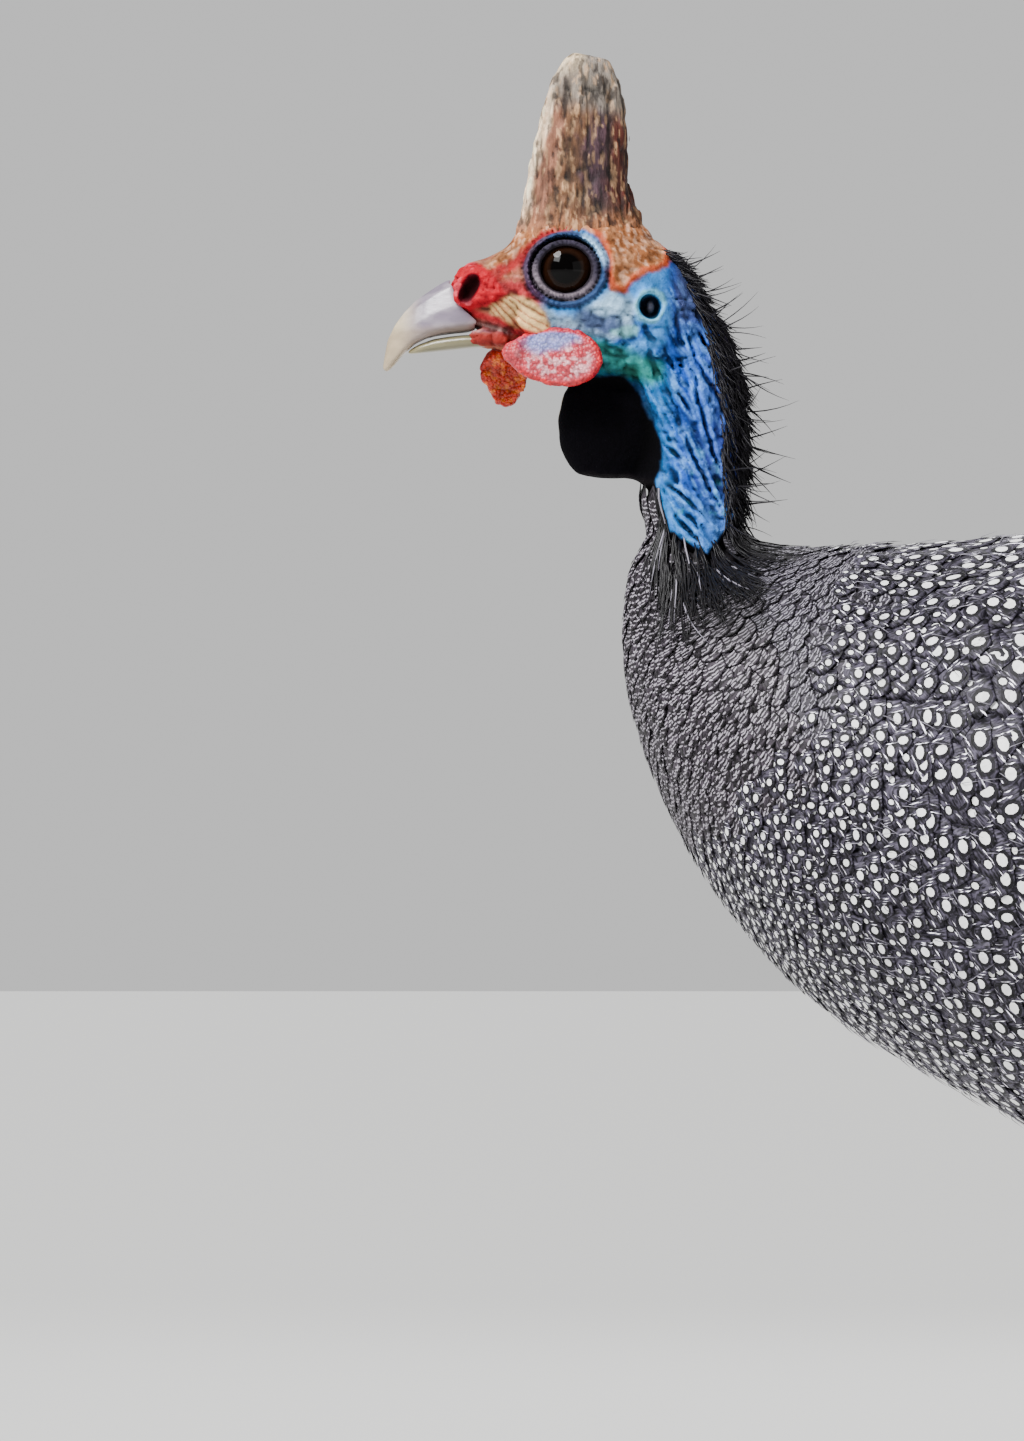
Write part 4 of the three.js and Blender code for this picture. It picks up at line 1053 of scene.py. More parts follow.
class Ground:
    """Rings of points along a body part. A place on it is (i, j): along the rings and round them."""

    def __init__(self, points):
        self.p = points
        self.count = points.shape[:2]
        along = np.gradient(points, axis=0)
        round_it = (np.roll(points, -1, axis=1) - np.roll(points, 1, axis=1)) / 2
        out = np.cross(round_it, along)
        middle = points.mean(axis=1, keepdims=True)
        out *= np.where(((points - middle) * out).sum(axis=2, keepdims=True).mean() < 0, -1, 1)
        self.n = out / np.maximum(np.linalg.norm(out, axis=2, keepdims=True), 1e-9)
        self.step_i = np.linalg.norm(along, axis=2)
        self.step_j = np.linalg.norm(round_it, axis=2)

    def mixed(self, table, i, j):
        """Values of a table between its rings and spokes"""
        rows, spokes = self.count
        i0 = np.clip(np.floor(i), 0, rows - 2).astype(int)
        f = np.clip(i - i0, -1, 2)
        j0 = np.floor(j).astype(int)
        g = j - j0
        if table.ndim == 3:
            f, g = f[..., None], g[..., None]
        a, b = j0 % spokes, (j0 + 1) % spokes
        low = table[i0, a] * (1 - g) + table[i0, b] * g
        high = table[i0 + 1, a] * (1 - g) + table[i0 + 1, b] * g
        return low * (1 - f) + high * f

    def at(self, i, j, lift):
        """Points at places of the ground, lifted off it"""
        n = self.mixed(self.n, i, j)
        n /= np.maximum(np.linalg.norm(n, axis=-1, keepdims=True), 1e-9)
        return self.mixed(self.p, i, j) + n * np.asarray(lift)[..., None]


def ring_ground(spine, names, step, spokes):
    """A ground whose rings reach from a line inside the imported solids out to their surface"""
    line, ahead = bent(spine, step)
    points, faces, first = [], [], 0
    for name in names:
        p, t = corners_of(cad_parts[name])
        points.append(p)
        faces.append(t + first)
        first += len(p)
    tree = BVHTree.FromPolygons(np.vstack(points).tolist(), np.vstack(faces).tolist())
    side = np.array([0.0, 1.0, 0.0])
    r = np.zeros((len(line), spokes))
    rays = np.zeros((len(line), spokes, 3))
    for k, (at, t) in enumerate(zip(line, ahead)):
        up = np.array([-t[2], 0, t[0]])
        up /= np.linalg.norm(up)
        for m in range(spokes):
            a = 2 * math.pi * m / spokes
            d = up * math.cos(a) + side * math.sin(a)
            rays[k, m] = d
            far, start = 0.0, Vector(at)
            while True:
                hit, normal, _, gone = tree.ray_cast(start, Vector(d))
                if hit is None:
                    break
                dist = (hit - Vector(at)).length
                if normal.dot(Vector(d)) > 0:
                    far = dist
                elif far > 0 and dist - far > 1.5:
                    break
                start = hit + Vector(d) * 0.02
            r[k, m] = far
    r = around(r, 1.3)
    return Ground(line[:, None, :] + rays * r[:, :, None])


def scattered(ground, density_pitch, keep, count, seed):
    """Roots spread over a ground about density_pitch apart, where keep says so, as (i, j) places"""
    draw = np.random.default_rng(seed)
    rows, spokes = ground.count
    area = (ground.step_i * ground.step_j)[:-1]
    mid_i, mid_j = np.meshgrid(np.arange(rows - 1) + 0.5, np.arange(spokes) + 0.5, indexing="ij")
    pitch = density_pitch(ground.at(mid_i, mid_j, np.zeros_like(mid_i)), mid_i, mid_j)
    weight = (area / pitch**2).ravel()
    total = weight.sum()
    picks = draw.choice(weight.size, size=int(total * count), p=weight / total)
    i = (picks // spokes) + draw.random(len(picks))
    j = (picks % spokes) + draw.random(len(picks))
    p = ground.at(i, j, np.zeros(len(i)))
    pitch = density_pitch(p, i, j)
    ok = keep(p, i, j)
    i, j, p, pitch = i[ok], j[ok], p[ok], pitch[ok]
    cell = 9.0
    beside = list(product((-1, 0, 1), repeat=3))
    cells, chosen = {}, []
    keys = np.floor(p / cell).astype(int)
    for k in range(len(p)):
        x, y, z = keys[k]
        px, py, pz = p[k]
        gap = 0.8 * pitch[k]
        near = any(
            abs(q[0] - px) < gap
            and (q[0] - px) ** 2 + (q[1] - py) ** 2 + (q[2] - pz) ** 2 < gap * 0.8 * other
            for dx, dy, dz in beside
            for q, other in cells.get((x + dx, y + dy, z + dz), ())
        )
        if not near:
            cells.setdefault((x, y, z), []).append((p[k].tolist(), pitch[k]))
            chosen.append(k)
    return i[chosen], j[chosen], p[chosen], pitch[chosen]


# Feathers
def ringlet(u, v, wide, tall, turn=0.0, sides=8):
    """An oval of points round (u, v)"""
    a = np.arange(sides) * 2 * math.pi / sides + 0.3
    x, y = wide * np.cos(a), tall * np.sin(a)
    c, s = math.cos(turn), math.sin(turn)
    return [(u + c * p - s * q, v + s * p + c * q) for p, q in zip(x, y)]


class Vane:
    """Plan of one feather: a closed thin shell in units of its scale, each face with a tone number"""

    def __init__(self, length, outline, marks, ribs=4, dome=0.06):
        faces_in = [self.widdershins(shape) for shape in [outline] + [shape for _, shape in marks]]
        verts, polys = [], []
        for shape in faces_in:
            polys.append(list(range(len(verts), len(verts) + len(shape))))
            verts += [Vector(q) for q in shape]
        verts += [Vector((0, v)) for v in np.linspace(length * 0.15, length * 0.9, ribs)]
        out = delaunay_2d_cdt(verts, [], polys, 1, 1e-5)
        flat = np.array([tuple(v) for v in out[0]])
        tris = [list(f) for f in out[2]]
        tones = [([0] + [t for t, _ in marks])[max(f)] if f else 0 for f in out[5]]
        rim = [k for k, v in enumerate(out[3]) if any(q < len(outline) for q in v)]
        rim.sort(key=lambda k: min(out[3][k]))
        # The under side bends with the ground along a few points of its own
        keel = [(0.0, length * share) for share in (0.2, 0.38, 0.56, 0.74, 0.9)]
        below = [Vector(flat[k]) for k in rim] + [Vector(q) for q in keel]
        under = delaunay_2d_cdt(below, [], [list(range(len(rim)))], 1, 1e-5)
        assert len(under[0]) == len(rim) + len(keel)
        at = rim + list(range(len(flat), len(flat) + len(keel)))
        above = len(flat)
        flat = np.vstack([flat, keel])
        back = [[at[q] for q in f] for f in under[2]]
        top = [f if self.turns(flat, f) else f[::-1] for f in tris]
        back = [f[::-1] if self.turns(flat, f) else f for f in back]
        # A face that would lie on one of the upper side's is raised off it by a middle point
        upper, parted, sunk = {tuple(sorted(f)) for f in top}, [], []
        for a, b, c in back:
            if tuple(sorted((a, b, c))) in upper:
                sunk.append((flat[a] + flat[b] + flat[c]) / 3)
                m = len(flat) + len(sunk) - 1
                parted += [[a, b, m], [b, c, m], [c, a, m]]
            else:
                parted.append([a, b, c])
        half = np.abs(flat[:, 0]).max()
        on_rim = np.isin(np.arange(len(flat)), rim)
        self.dome = np.where(on_rim, 0, dome * (1.1 - (flat[:, 0] / half) ** 2))
        self.dome[above:] = -0.05 * half
        if sunk:
            flat = np.vstack([flat, sunk])
            self.dome = np.concatenate([self.dome, np.full(len(sunk), -0.02 * half)])
        self.uv = flat
        self.faces = np.array(top + parted)
        # Faces of the under side take tone 9, a darker copy of the vane's colour: painted shade
        self.tones = np.array(tones + [9] * len(parted))
        self.length = length
        self.half = half

    @staticmethod
    def widdershins(shape):
        """The same outline, running against the clock"""
        area = sum(a[0] * b[1] - b[0] * a[1] for a, b in zip(shape, shape[1:] + shape[:1]))
        return shape if area > 0 else shape[::-1]

    @staticmethod
    def turns(flat, f):
        """Whether a triangle runs against the clock"""
        (ax, ay), (bx, by), (cx, cy) = flat[f[0]], flat[f[1]], flat[f[2]]
        return (bx - ax) * (cy - ay) - (by - ay) * (cx - ax) > 0


def vane_width(share, tip):
    """Half width of a feather at a share of its length, widest at tip"""
    return np.interp(share, [0, 0.12, 0.4, tip, 0.93, 1], [0.18, 0.55, 0.9, 1, 0.62, 0.16])


def vane_outline(length, half, points=7, tip=0.75, notch=None):
    """The edge of a feather from quill round its tip and back"""
    t = np.linspace(0, 1, points)
    width = half * vane_width(t, tip)
    right = [(w, length * s) for w, s in zip(width, t)]
    left = [(-w, length * s) for w, s in zip(width[::-1], t[::-1])]
    if notch is not None:
        right = [(u * (1 + 0.12 * notch.standard_normal()), v) for u, v in right]
        left = [(u * (1 + 0.12 * notch.standard_normal()), v) for u, v in left]
    return right + [(0, length * 1.035)] + left


def pale_barbs(draw, count, clear_of, reach, half):
    """Thin pale slivers slanting out from the shaft, each clear of the round marks"""
    made = []
    for _ in range(60):
        side = draw.choice([-1, 1])
        u, v = side * draw.uniform(0.08, half - 0.3), draw.uniform(*reach) - 0.3
        long, thick = draw.uniform(0.3, 0.55), draw.uniform(0.025, 0.045)
        du, dv = side * long * 0.5, long * 0.85
        shares = (0, 0.33, 0.66, 1)
        if any(math.hypot(u + du * t - a, v + dv * t - b) < r for a, b, r in clear_of for t in shares):
            continue
        if abs(u + du) > half * 0.86 or any(abs(u - q[0][0]) < 0.09 for _, q in made):
            continue
        made.append((3, [(u, v), (u + du, v + dv), (u + du * 0.5 - side * thick, v + dv * 0.5 + thick)]))
        if len(made) == count:
            break
    return made


def spotted_vane(draw):
    """Grey vane with one black-ringed white spot near the tip and two smaller ones beside and above it"""
    u, v = 0.1 * draw.standard_normal(), 2.4 + 0.05 * draw.standard_normal()
    turn = draw.uniform(-0.5, 0.9)
    wide, tall = draw.uniform(0.2, 0.25), draw.uniform(0.24, 0.31)
    marks = [
        (1, ringlet(u, v, wide + 0.17, tall + 0.17, turn, 9)),
        (2, ringlet(u, v, wide, tall, turn, 9)),
    ]
    clear_of = [(u, v, wide + 0.13)]
    for side, out, up in ((-1, (0.46, 0.58), (1.85, 2.02)), (1, (0.38, 0.56), (1.45, 1.7))):
        a, b = side * draw.uniform(*out), draw.uniform(*up)
        size = draw.uniform(0.11, 0.17)
        marks.append((1, ringlet(a, b, size + 0.1, size + 0.13, 0, 7)))
        marks.append((2, ringlet(a, b, size, size + 0.04, draw.uniform(0, 1), 7)))
        clear_of.append((a, b, size + 0.06))
    marks += pale_barbs(draw, 7, clear_of, (1.5, 2.75), 0.9)
    return Vane(2.9, vane_outline(2.9, 1.0, 7, 0.8, draw), marks, dome=0.02)


def barred_vane(draw, gap=0.3, thick=0.14):
    """Dark vane crossed by broken, wavy pale bars"""
    marks, length, half = [], 3.2, 1.0
    phase = draw.uniform(0, 6.3)
    for v in np.arange(1.35, 3.05, gap):
        w = half * 0.9 * vane_width((v + 0.1) / length, 0.78)
        cuts = np.linspace(-w, w, 4) + np.array([0, *(0.1 * draw.standard_normal(2)), 0])
        for a, b in zip(cuts[:-1], cuts[1:]):
            if draw.random() < 0.1:
                continue
            a, b = a + draw.uniform(0, 0.09), b - draw.uniform(0, 0.09)
            step = 0.3 * gap * draw.standard_normal() * 0.6
            deep = thick * draw.uniform(0.65, 1.15)
            edge = [
                (u, v + step - 0.1 * abs(u) / w + 0.045 * math.sin(9 * u + phase + 4 * v))
                for u in (a, (a + b) / 2, b)
            ]
            back = [(u, t + deep * (0.75 if u != edge[1][0] else 1)) for u, t in reversed(edge)]
            marks.append((2, edge + back))
    return Vane(length, vane_outline(length, half, 6, 0.78), marks, ribs=1, dome=0.01)


def flight_vane(length, half, gap, draw, spot=1.5):
    """A long quill feather with slanting rows of white spots, in millimetres"""
    marks = [(1, [(-0.35, 2), (0.35, 2), (0.22, length * 0.96), (-0.22, length * 0.96)])]
    shares, widths = [0, 0.12, 0.4, 0.85, 0.95, 1], [0.18, 0.55, 0.9, 1, 0.6, 0.2]
    for v in np.arange(length * 0.12, length - gap * 0.6, gap):
        for k in (-1, 1):
            for n, share in enumerate((0.33, 0.76)):
                u = k * half * share
                lean = v - gap * 0.35 * share + gap * 0.18 * draw.standard_normal() * 0.4
                reach = half * np.interp(v / length, shares, widths)
                if abs(u) + spot > reach or lean < 3 or lean > length - 2.4:
                    continue
                size = spot * draw.uniform(0.8, 1.1) * (1 if n == 0 else 0.85)
                marks.append((2, ringlet(u, lean, size * 0.85, size, k * -0.5, 7)))
    return Vane(length, vane_outline(length, half, 10, 0.85, draw), marks, ribs=6, dome=0.6)


class Coat:
    """Gathers feathers and turns them into pieces of fewer than 200,000 triangles"""

    def __init__(self, name, slot, material, stands_for=(), cap=190000):
        self.name, self.slot, self.material, self.cap = name, slot, material, cap
        self.stands_for = stands_for
        self.made = 0
        self.empty()

    def empty(self):
        """Starts the lists of the next piece"""
        self.points, self.faces, self.tones, self.bake, self.vane = [], [], [], [], []
        self.size = 0

    def lay(
        self, ground, plan, i, j, scale, turn, root, tip, tones, shade, map_at,
        curl=0.0, lift=0.0, roll=0.0, white_low=0.85,
    ):
        """Lays one plan at many places. root and tip are heights over the ground, roll lifts one edge."""
        n = len(i)
        if n == 0:
            return
        u = plan.uv[None, :, 0] * scale[:, None]
        v = plan.uv[None, :, 1] * scale[:, None]
        c, s = np.cos(turn)[:, None], np.sin(turn)[:, None]
        ahead, aside = v * c - u * s, v * s + u * c
        si = ground.mixed(ground.step_i, i, j)
        sj = ground.mixed(ground.step_j, i, j)
        end = i + plan.length * scale / si
        si = 0.5 * (si + ground.mixed(ground.step_i, np.minimum(end, ground.count[0] - 1), j))
        sj = np.maximum(sj, 0.35 * np.median(ground.step_j))
        share = plan.uv[None, :, 1] / plan.length
        height = root + (tip - root) * share + curl * share**3 * scale[:, None]
        height = height + plan.dome[None] * scale[:, None] + np.asarray(lift).reshape(-1, 1)
        height = height + roll * plan.uv[None, :, 0] / plan.half
        gi = i[:, None] + ahead / si[:, None]
        gj = j[:, None] + aside / sj[:, None]
        p = ground.at(gi, gj, height)
        k = len(plan.uv)
        faces = plan.faces[None] + (np.arange(n) * k)[:, None, None]
        table = np.zeros((10, 3))
        for number, colour in tones.items():
            table[number] = linear(colour)
        face_tone = table[plan.tones][None] * shade[:, None, None]
        white = plan.tones == 2
        face_tone[:, white] = table[2] * np.clip(shade, white_low, 1.1)[:, None, None]
        streaks = np.broadcast_to(np.where(white, 0.0, 1.0)[None, :, None], face_tone[..., :1].shape)
        corner_tone = np.repeat(np.concatenate([face_tone, streaks], axis=2)[:, :, None, :], 3, axis=2)
        # Bake patch: dark faces fill its left part, pale faces its right part
        cu = plan.uv[plan.faces][..., 0] / (2 * plan.half) + 0.5
        cv = plan.uv[plan.faces][..., 1] / (plan.length * 1.04)
        cu = np.where(white[:, None], 0.72 + 0.26 * cu, 0.02 + 0.6 * cu)
        at_u, at_v = map_at(i, j)
        patch_u = at_u[:, None, None] + PATCH * cu[None]
        patch_v = at_v[:, None, None] + PATCH * cv[None]
        bake = np.stack([patch_u, patch_v], axis=-1)
        mm_u = plan.uv[plan.faces][..., 0][None] * scale[:, None, None]
        mm_v = plan.uv[plan.faces][..., 1][None] * scale[:, None, None]
        shift = (np.arange(n) * 7.31)[:, None, None]
        aslant, along = 0.82 * np.abs(mm_u) - 0.57 * mm_v, 0.57 * np.abs(mm_u) + 0.82 * mm_v
        vane = np.stack([aslant / 0.62 + shift, along / 2.6 + shift * 0.37], axis=-1)
        if self.size + faces.shape[0] * faces.shape[1] > self.cap:
            self.close()
        first = sum(len(q) for q in self.points)
        self.points.append(p.reshape(-1, 3))
        self.faces.append(faces.reshape(-1, 3) + first)
        self.tones.append(corner_tone.reshape(-1, 4))
        self.bake.append(bake.reshape(-1, 2))
        self.vane.append(vane.reshape(-1, 2))
        self.size += faces.shape[0] * faces.shape[1]

    def close(self):
        """Turns what was laid so far into a piece"""
        if not self.points:
            return
        self.made += 1
        points, faces = np.concatenate(self.points), np.concatenate(self.faces)
        piece = mesh_piece(f"{self.name}_{self.made}", points, faces, self.material)
        mesh = piece.data
        if len(mesh.polygons) != self.size:
            raise RuntimeError("faces were lost from " + piece.name)
        tones = np.concatenate(self.tones).astype(np.float32)
        layer = mesh.color_attributes.new("tone", "FLOAT_COLOR", "CORNER")
        layer.data.foreach_set("color", tones.ravel())
        for name, values in (("OFBake", self.bake), ("vane", self.vane)):
            uv = mesh.uv_layers.new(name=name)
            uv.data.foreach_set("uv", np.concatenate(values).astype(np.float32).ravel())
        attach(piece, "root")
        if self.stands_for:
            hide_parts(*self.stands_for)
        self.empty()


def square(rows, spokes, u0, v0, wide, tall):
    """Where a place on a ground falls on the unwrap of the skin"""

    def map_at(i, j):
        return (
            u0 + (wide - 0.004) * np.clip(i / (rows - 1), 0, 1),
            v0 + (tall - 0.004) * ((j % spokes) / spokes),
        )

    return map_at


# Body and lower neck as one ground, so that the coat runs on from one to the other
SPINE = [
    (-144.5, 0, 306), (-143.6, 0, 295), (-141, 0, 284), (-136, 0, 273), (-127.5, 0, 263),
    (-114, 0, 254.5), (-95, 0, 247), (-70, 0, 239), (-40, 0, 231), (0, 0, 223), (40, 0, 216),
    (80, 0, 209), (115, 0, 204), (145, 0, 199), (165, 0, 194.5), (183.5, 0, 189.8),
]
body = ring_ground(SPINE, ("torso", "neck_lower", "neck_upper"), step=2.4, spokes=128)
rows, spokes = body.count
body_map = square(rows, spokes, 0.01, 0.01, 0.98, 0.6)


def angle_of(j, around_it):
    """Degrees round a ground from the middle of its back, positive both ways"""
    a = (j % around_it) / around_it * 360
    return np.minimum(a, 360 - a)


WING_PAD = np.array([
    (-98, 1.4, 15), (-93, 4.6, 23), (-84, 6.4, 31), (-73, 6.2, 37), (-65, 5.4, 42), (-58, 5.4, 42),
    (-54, 4.4, 42), (-38, 4.2, 42), (-26, 3.6, 42), (9, 3.2, 42), (21, 2.6, 41),
])
WING_MIDDLE = 77  # degrees round the body from the middle of the back


def wing_lift(p, j):
    """Height of the folded wing over the body, and how far inside its edge a place is"""
    x = p[..., 0] - BODY_X
    high = np.interp(x, WING_PAD[:, 0], WING_PAD[:, 1], left=0, right=2.4)
    span = np.interp(x, WING_PAD[:, 0], WING_PAD[:, 2], left=0, right=41)
    inner = span - np.abs(angle_of(j, spokes) - WING_MIDDLE)
    return high * smooth(-1, 7, inner) * smooth(-100, -92, x), inner


def coat_pitch(p, i, j):
    """Distance between spots: fine on neck and mantle, wide on the flank and wing"""
    x, z = p[..., 0], p[..., 2]
    upper = 3.1 + 2.9 * smooth(-126, -84, x)
    lower = 3.1 + 2.6 * smooth(-135, -62, x + 0.1 * (z - 200))
    side = lower + (upper - lower) * smooth(215, 245, z)
    return side - 0.8 * smooth(160, 140, z)


def barred_there(p):
    """Where neck and mantle are barred instead of spotted, above 0"""
    x, z = p[..., 0], p[..., 2]
    edge = np.interp(z, [200, 222, 235, 250, 285, 300], [-172, -152, -134, -121, -112, -108])
    return edge - x


def feathered(p, i, j):
    """The coat starts below the bare blue neck"""
    x, z = p[..., 0], p[..., 2]
    top = np.interp(x, FEATHER_X, FEATHER_Z)
    hidden = (wing_lift(p, j)[1] > 8) & (x > -32) & (x < 84)
    return (z < top) & ~hidden


spread_i, spread_j = np.meshgrid(
    np.arange(rows, dtype=float), np.arange(spokes, dtype=float), indexing="ij"
)
over_body = around(wing_lift(body.at(spread_i, spread_j, np.zeros(body.count)), spread_j)[0], 2.6)
winged = Ground(body.at(spread_i, spread_j, over_body))
root_i, root_j, root_p, pitch = scattered(winged, coat_pitch, feathered, count=9, seed=11)
draw = np.random.default_rng(3)
spotted = [spotted_vane(draw) for _ in range(6)]
barred = [barred_vane(draw) for _ in range(5)]
finer = [barred_vane(draw, 0.27, 0.12) for _ in range(5)]
x_root, z_root = root_p[:, 0], root_p[:, 2]
fine = barred_there(root_p) + 14 * (noise(root_p, 9, 81) - 0.5) + 15 * (draw.random(len(x_root)) - 0.5) > 0
collar = x_root + 0.3 * (z_root - 250) < -126
coat = Coat("plumage_body", "plumage", plumage_material)
turn = 0.10 * draw.standard_normal(len(x_root))
shade = (0.8 + 0.5 * noise(root_p, 14, 82)) * draw.uniform(0.85, 1.15, len(x_root))
# Tones by number: 0 the vane, 1 the rings, 2 the white spots, 3 the pale slivers, 9 the under side, drawn
# darker than the vane as painted shade except on the mantle
GREY = {0: "2b2831", 1: "0c0a10", 2: "ffffff", 3: "cfccd8", 9: "1c1a1d"}
NECK = {0: "201c21", 1: "141216", 2: "a29ca6", 9: "1a181c"}
MANTLE = {0: "242127", 1: "141216", 2: "9c98a4", 9: "242127"}
# Black, streaky feathers where the blue skin ends
frayed = smooth(266, 276, z_root + 8 * (noise(root_p, 5, 83) - 0.5))
shade *= 1 - 0.6 * smooth(-148, -143, x_root) * smooth(-128, -135, x_root) * frayed
for kinds, chosen, tones, tall, white_low in (
    (barred, fine & collar, NECK, 0.2, 0.3),
    (finer, fine & ~collar, MANTLE, 0.04, 0.3),
    (spotted, ~fine, GREY, 0.55, 0.95),
):
    pick = draw.integers(0, len(kinds), len(x_root))
    for k, plan in enumerate(kinds):
        m = np.nonzero(chosen & (pick == k))[0]
        for part in np.array_split(m, max(1, math.ceil(len(m) * len(plan.faces) / 60000))):
            coat.lay(
                winged, plan, root_i[part], root_j[part], pitch[part], turn[part], -0.9, tall,
                tones, shade[part], body_map, white_low=white_low,
                lift=0.08 * draw.standard_normal(len(part)),
            )
coat.close()

# Flight feathers
WING_TIERS = [
    {"from": 13, "to": (106, 128), "root": -0.5, "tip": 2.4, "count": 13, "half": 8.6, "gap": 6.2},
    {"from": -12, "to": (68, 86), "root": 0.3, "tip": 3.1, "count": 13, "half": 8.8, "gap": 6.4},
    {"from": -38, "to": (30, 42), "root": 1.0, "tip": 4.0, "count": 12, "half": 9.2, "gap": 6.6},
    {"from": -64, "to": (-12, -4), "root": 1.8, "tip": 5.0, "count": 12, "half": 9.2, "gap": 6.8},
]
# Tone 9, the under side, is a darker copy of the vane: painted shade
FLIGHT = {0: "3a373e", 1: "1b191d", 2: "f6f6f8", 9: "242226"}


def along_x(x, j):
    """Which ring of the body a place x has at a spoke j"""
    column = body.p[:, int(round(j)) % spokes, 0]
    tail_part = slice(int(rows * 0.25), rows)
    return np.interp(x + BODY_X, column[tail_part], np.arange(rows)[tail_part])


wings = Coat("plumage_wing", "plumage", plumage_material, ("wing_left", "wing_right"))
for y_side in (-1, 1):
    for tier in WING_TIERS:
        for k in range(tier["count"]):
            share = k / (tier["count"] - 1)
            degrees = 42 + 70 * share
            to = tier["to"][0] + (tier["to"][1] - tier["to"][0]) * math.sin(share * 2.2)
            to += draw.uniform(-5, 5)
            j = (y_side * degrees / 360 * spokes) % spokes
            i = along_x(tier["from"], j)
            plan = flight_vane(to - tier["from"], tier["half"], tier["gap"], draw)
            drawn = -y_side * 0.0022 * (degrees - WING_MIDDLE)
            wings.lay(
                body, plan, np.array([i]), np.array([j]), np.array([1.0]), np.array([drawn]),
                tier["root"], tier["tip"], FLIGHT, draw.uniform(0.85, 1.1, 1), body_map,
                lift=0.12 * draw.standard_normal(), roll=1.15 * y_side,
            )
wings.close()

# Tail: a drooping fan that lies over the rump
TAIL_LINE = [
    (116, 0, 262), (140, 0, 245), (166, 0, 225), (190, 0, 203), (208, 0, 181), (219, 0, 158),
    (226, 0, 136),
]
TAIL_STEP = 3.0
TAIL_SPOKES = 72
tail_line, tail_ahead = bent([(x + BODY_X, y, z) for x, y, z in TAIL_LINE], TAIL_STEP)
tail_s = np.arange(len(tail_line)) * TAIL_STEP
tail_wide = np.interp(tail_s, [0, 30, 60, 95, 150], [43, 36, 29, 26, 26])
tail_deep = np.interp(tail_s, [0, 30, 60, 95, 150], [40, 32, 24, 17, 15])
tail_round = np.arange(TAIL_SPOKES) / TAIL_SPOKES * 2 * math.pi
tail_up = np.stack([-tail_ahead[:, 2], 0 * tail_s, tail_ahead[:, 0]], axis=1)
tail = Ground(
    tail_line[:, None]
    + np.array([0, 1.0, 0]) * (tail_wide[:, None] * np.sin(tail_round))[..., None]
    + tail_up[:, None] * (tail_deep[:, None] * (np.cos(tail_round) - 1))[..., None]
)
tail_map = square(len(tail_line), TAIL_SPOKES, 0.01, 0.63, 0.48, 0.16)
tail_coat = Coat("plumage_tail", "plumage", plumage_material, ("tail",))
for start, end, root, tip, count, half in (
    (44, 134, -4.0, -1.6, 14, 8.2), (28, 92, -2.2, 0.8, 13, 8.4), (14, 60, -0.8, 2.6, 12, 8.4),
):
    for k in range(count):
        degrees = -76 + 152 * k / (count - 1)
        plan = flight_vane(end - start - 4 * abs(degrees / 76) ** 2, half, 6.4, draw)
        j = np.array([(degrees / 360 * TAIL_SPOKES) % TAIL_SPOKES])
        tail_coat.lay(
            tail, plan, np.array([start / TAIL_STEP]), j, np.array([1.0]), np.array([0.0]),
            root, tip, FLIGHT, draw.uniform(0.85, 1.1, 1), tail_map, lift=0.1 * draw.standard_normal(),
            roll=0.9 * (1 if degrees > 0 else -1),
        )


def tail_coverts(p, i, j):
    """Where short spotted feathers cover the roots of the tail"""
    return (angle_of(j, TAIL_SPOKES) < 84) & (i < 13)


i, j, p, pitch = scattered(tail, lambda p, i, j: np.full(np.shape(i), 7.4), tail_coverts, count=8, seed=23)
pick = draw.integers(0, 6, len(i))
for k, plan in enumerate(spotted):
    m = pick == k
    tail_coat.lay(
        tail, plan, i[m], j[m], pitch[m], 0.1 * draw.standard_normal(m.sum()), -1.2, 1.6, GREY,
        draw.uniform(0.8, 1.05, m.sum()), tail_map,
        lift=np.interp(i[m], [0, 3, 6, 13], [-7, -3, 1.9, 3.4]),
    )
tail_coat.close()

# Skin in one piece
DEPTH = 2.6  # the skin lies this far inside the solids where feathers cover it


def ground_skin(ground, depth):
    """Closed skin of a ground, depth inside it"""
    n, m = ground.count
    i, j = np.meshgrid(np.arange(n, dtype=float), np.arange(m, dtype=float), indexing="ij")
    p = ground.at(i, j, np.full(i.shape, -depth))
    ends = [p[0].mean(axis=0), p[-1].mean(axis=0)]
    points = np.vstack([p.reshape(-1, 3), ends])
    a = (np.arange(n - 1)[:, None] * m + np.arange(m)[None]).ravel()
    b = (np.arange(n - 1)[:, None] * m + (np.arange(m)[None] + 1) % m).ravel()
    faces = np.stack([a, a + m, b + m, b], axis=1)
    s, t = np.arange(m), (np.arange(m) + 1) % m
    last = (n - 1) * m
    caps = np.vstack([
        np.stack([s, t, np.full(m, n * m)], axis=1),
        np.stack([last + t, last + s, np.full(m, n * m + 1)], axis=1),
    ])
    return points, faces, caps


# Line down the middle of a thigh: place along the body, out to the side, and height
THIGH_LINE = [(-8, 33, 178), (-3, 35, 142), (6, 35, 118), (14, 34.4, 101), (19, 34, 91)]
thighs = {}
for side, y_side in SIDES:
    stride = y_side * STRIDE
    line = [(x + BODY_X + stride, y_side * out, z) for x, out, z in THIGH_LINE]
    thighs[side] = ring_ground(line, ("thigh_" + side,), step=2.0, spokes=48)

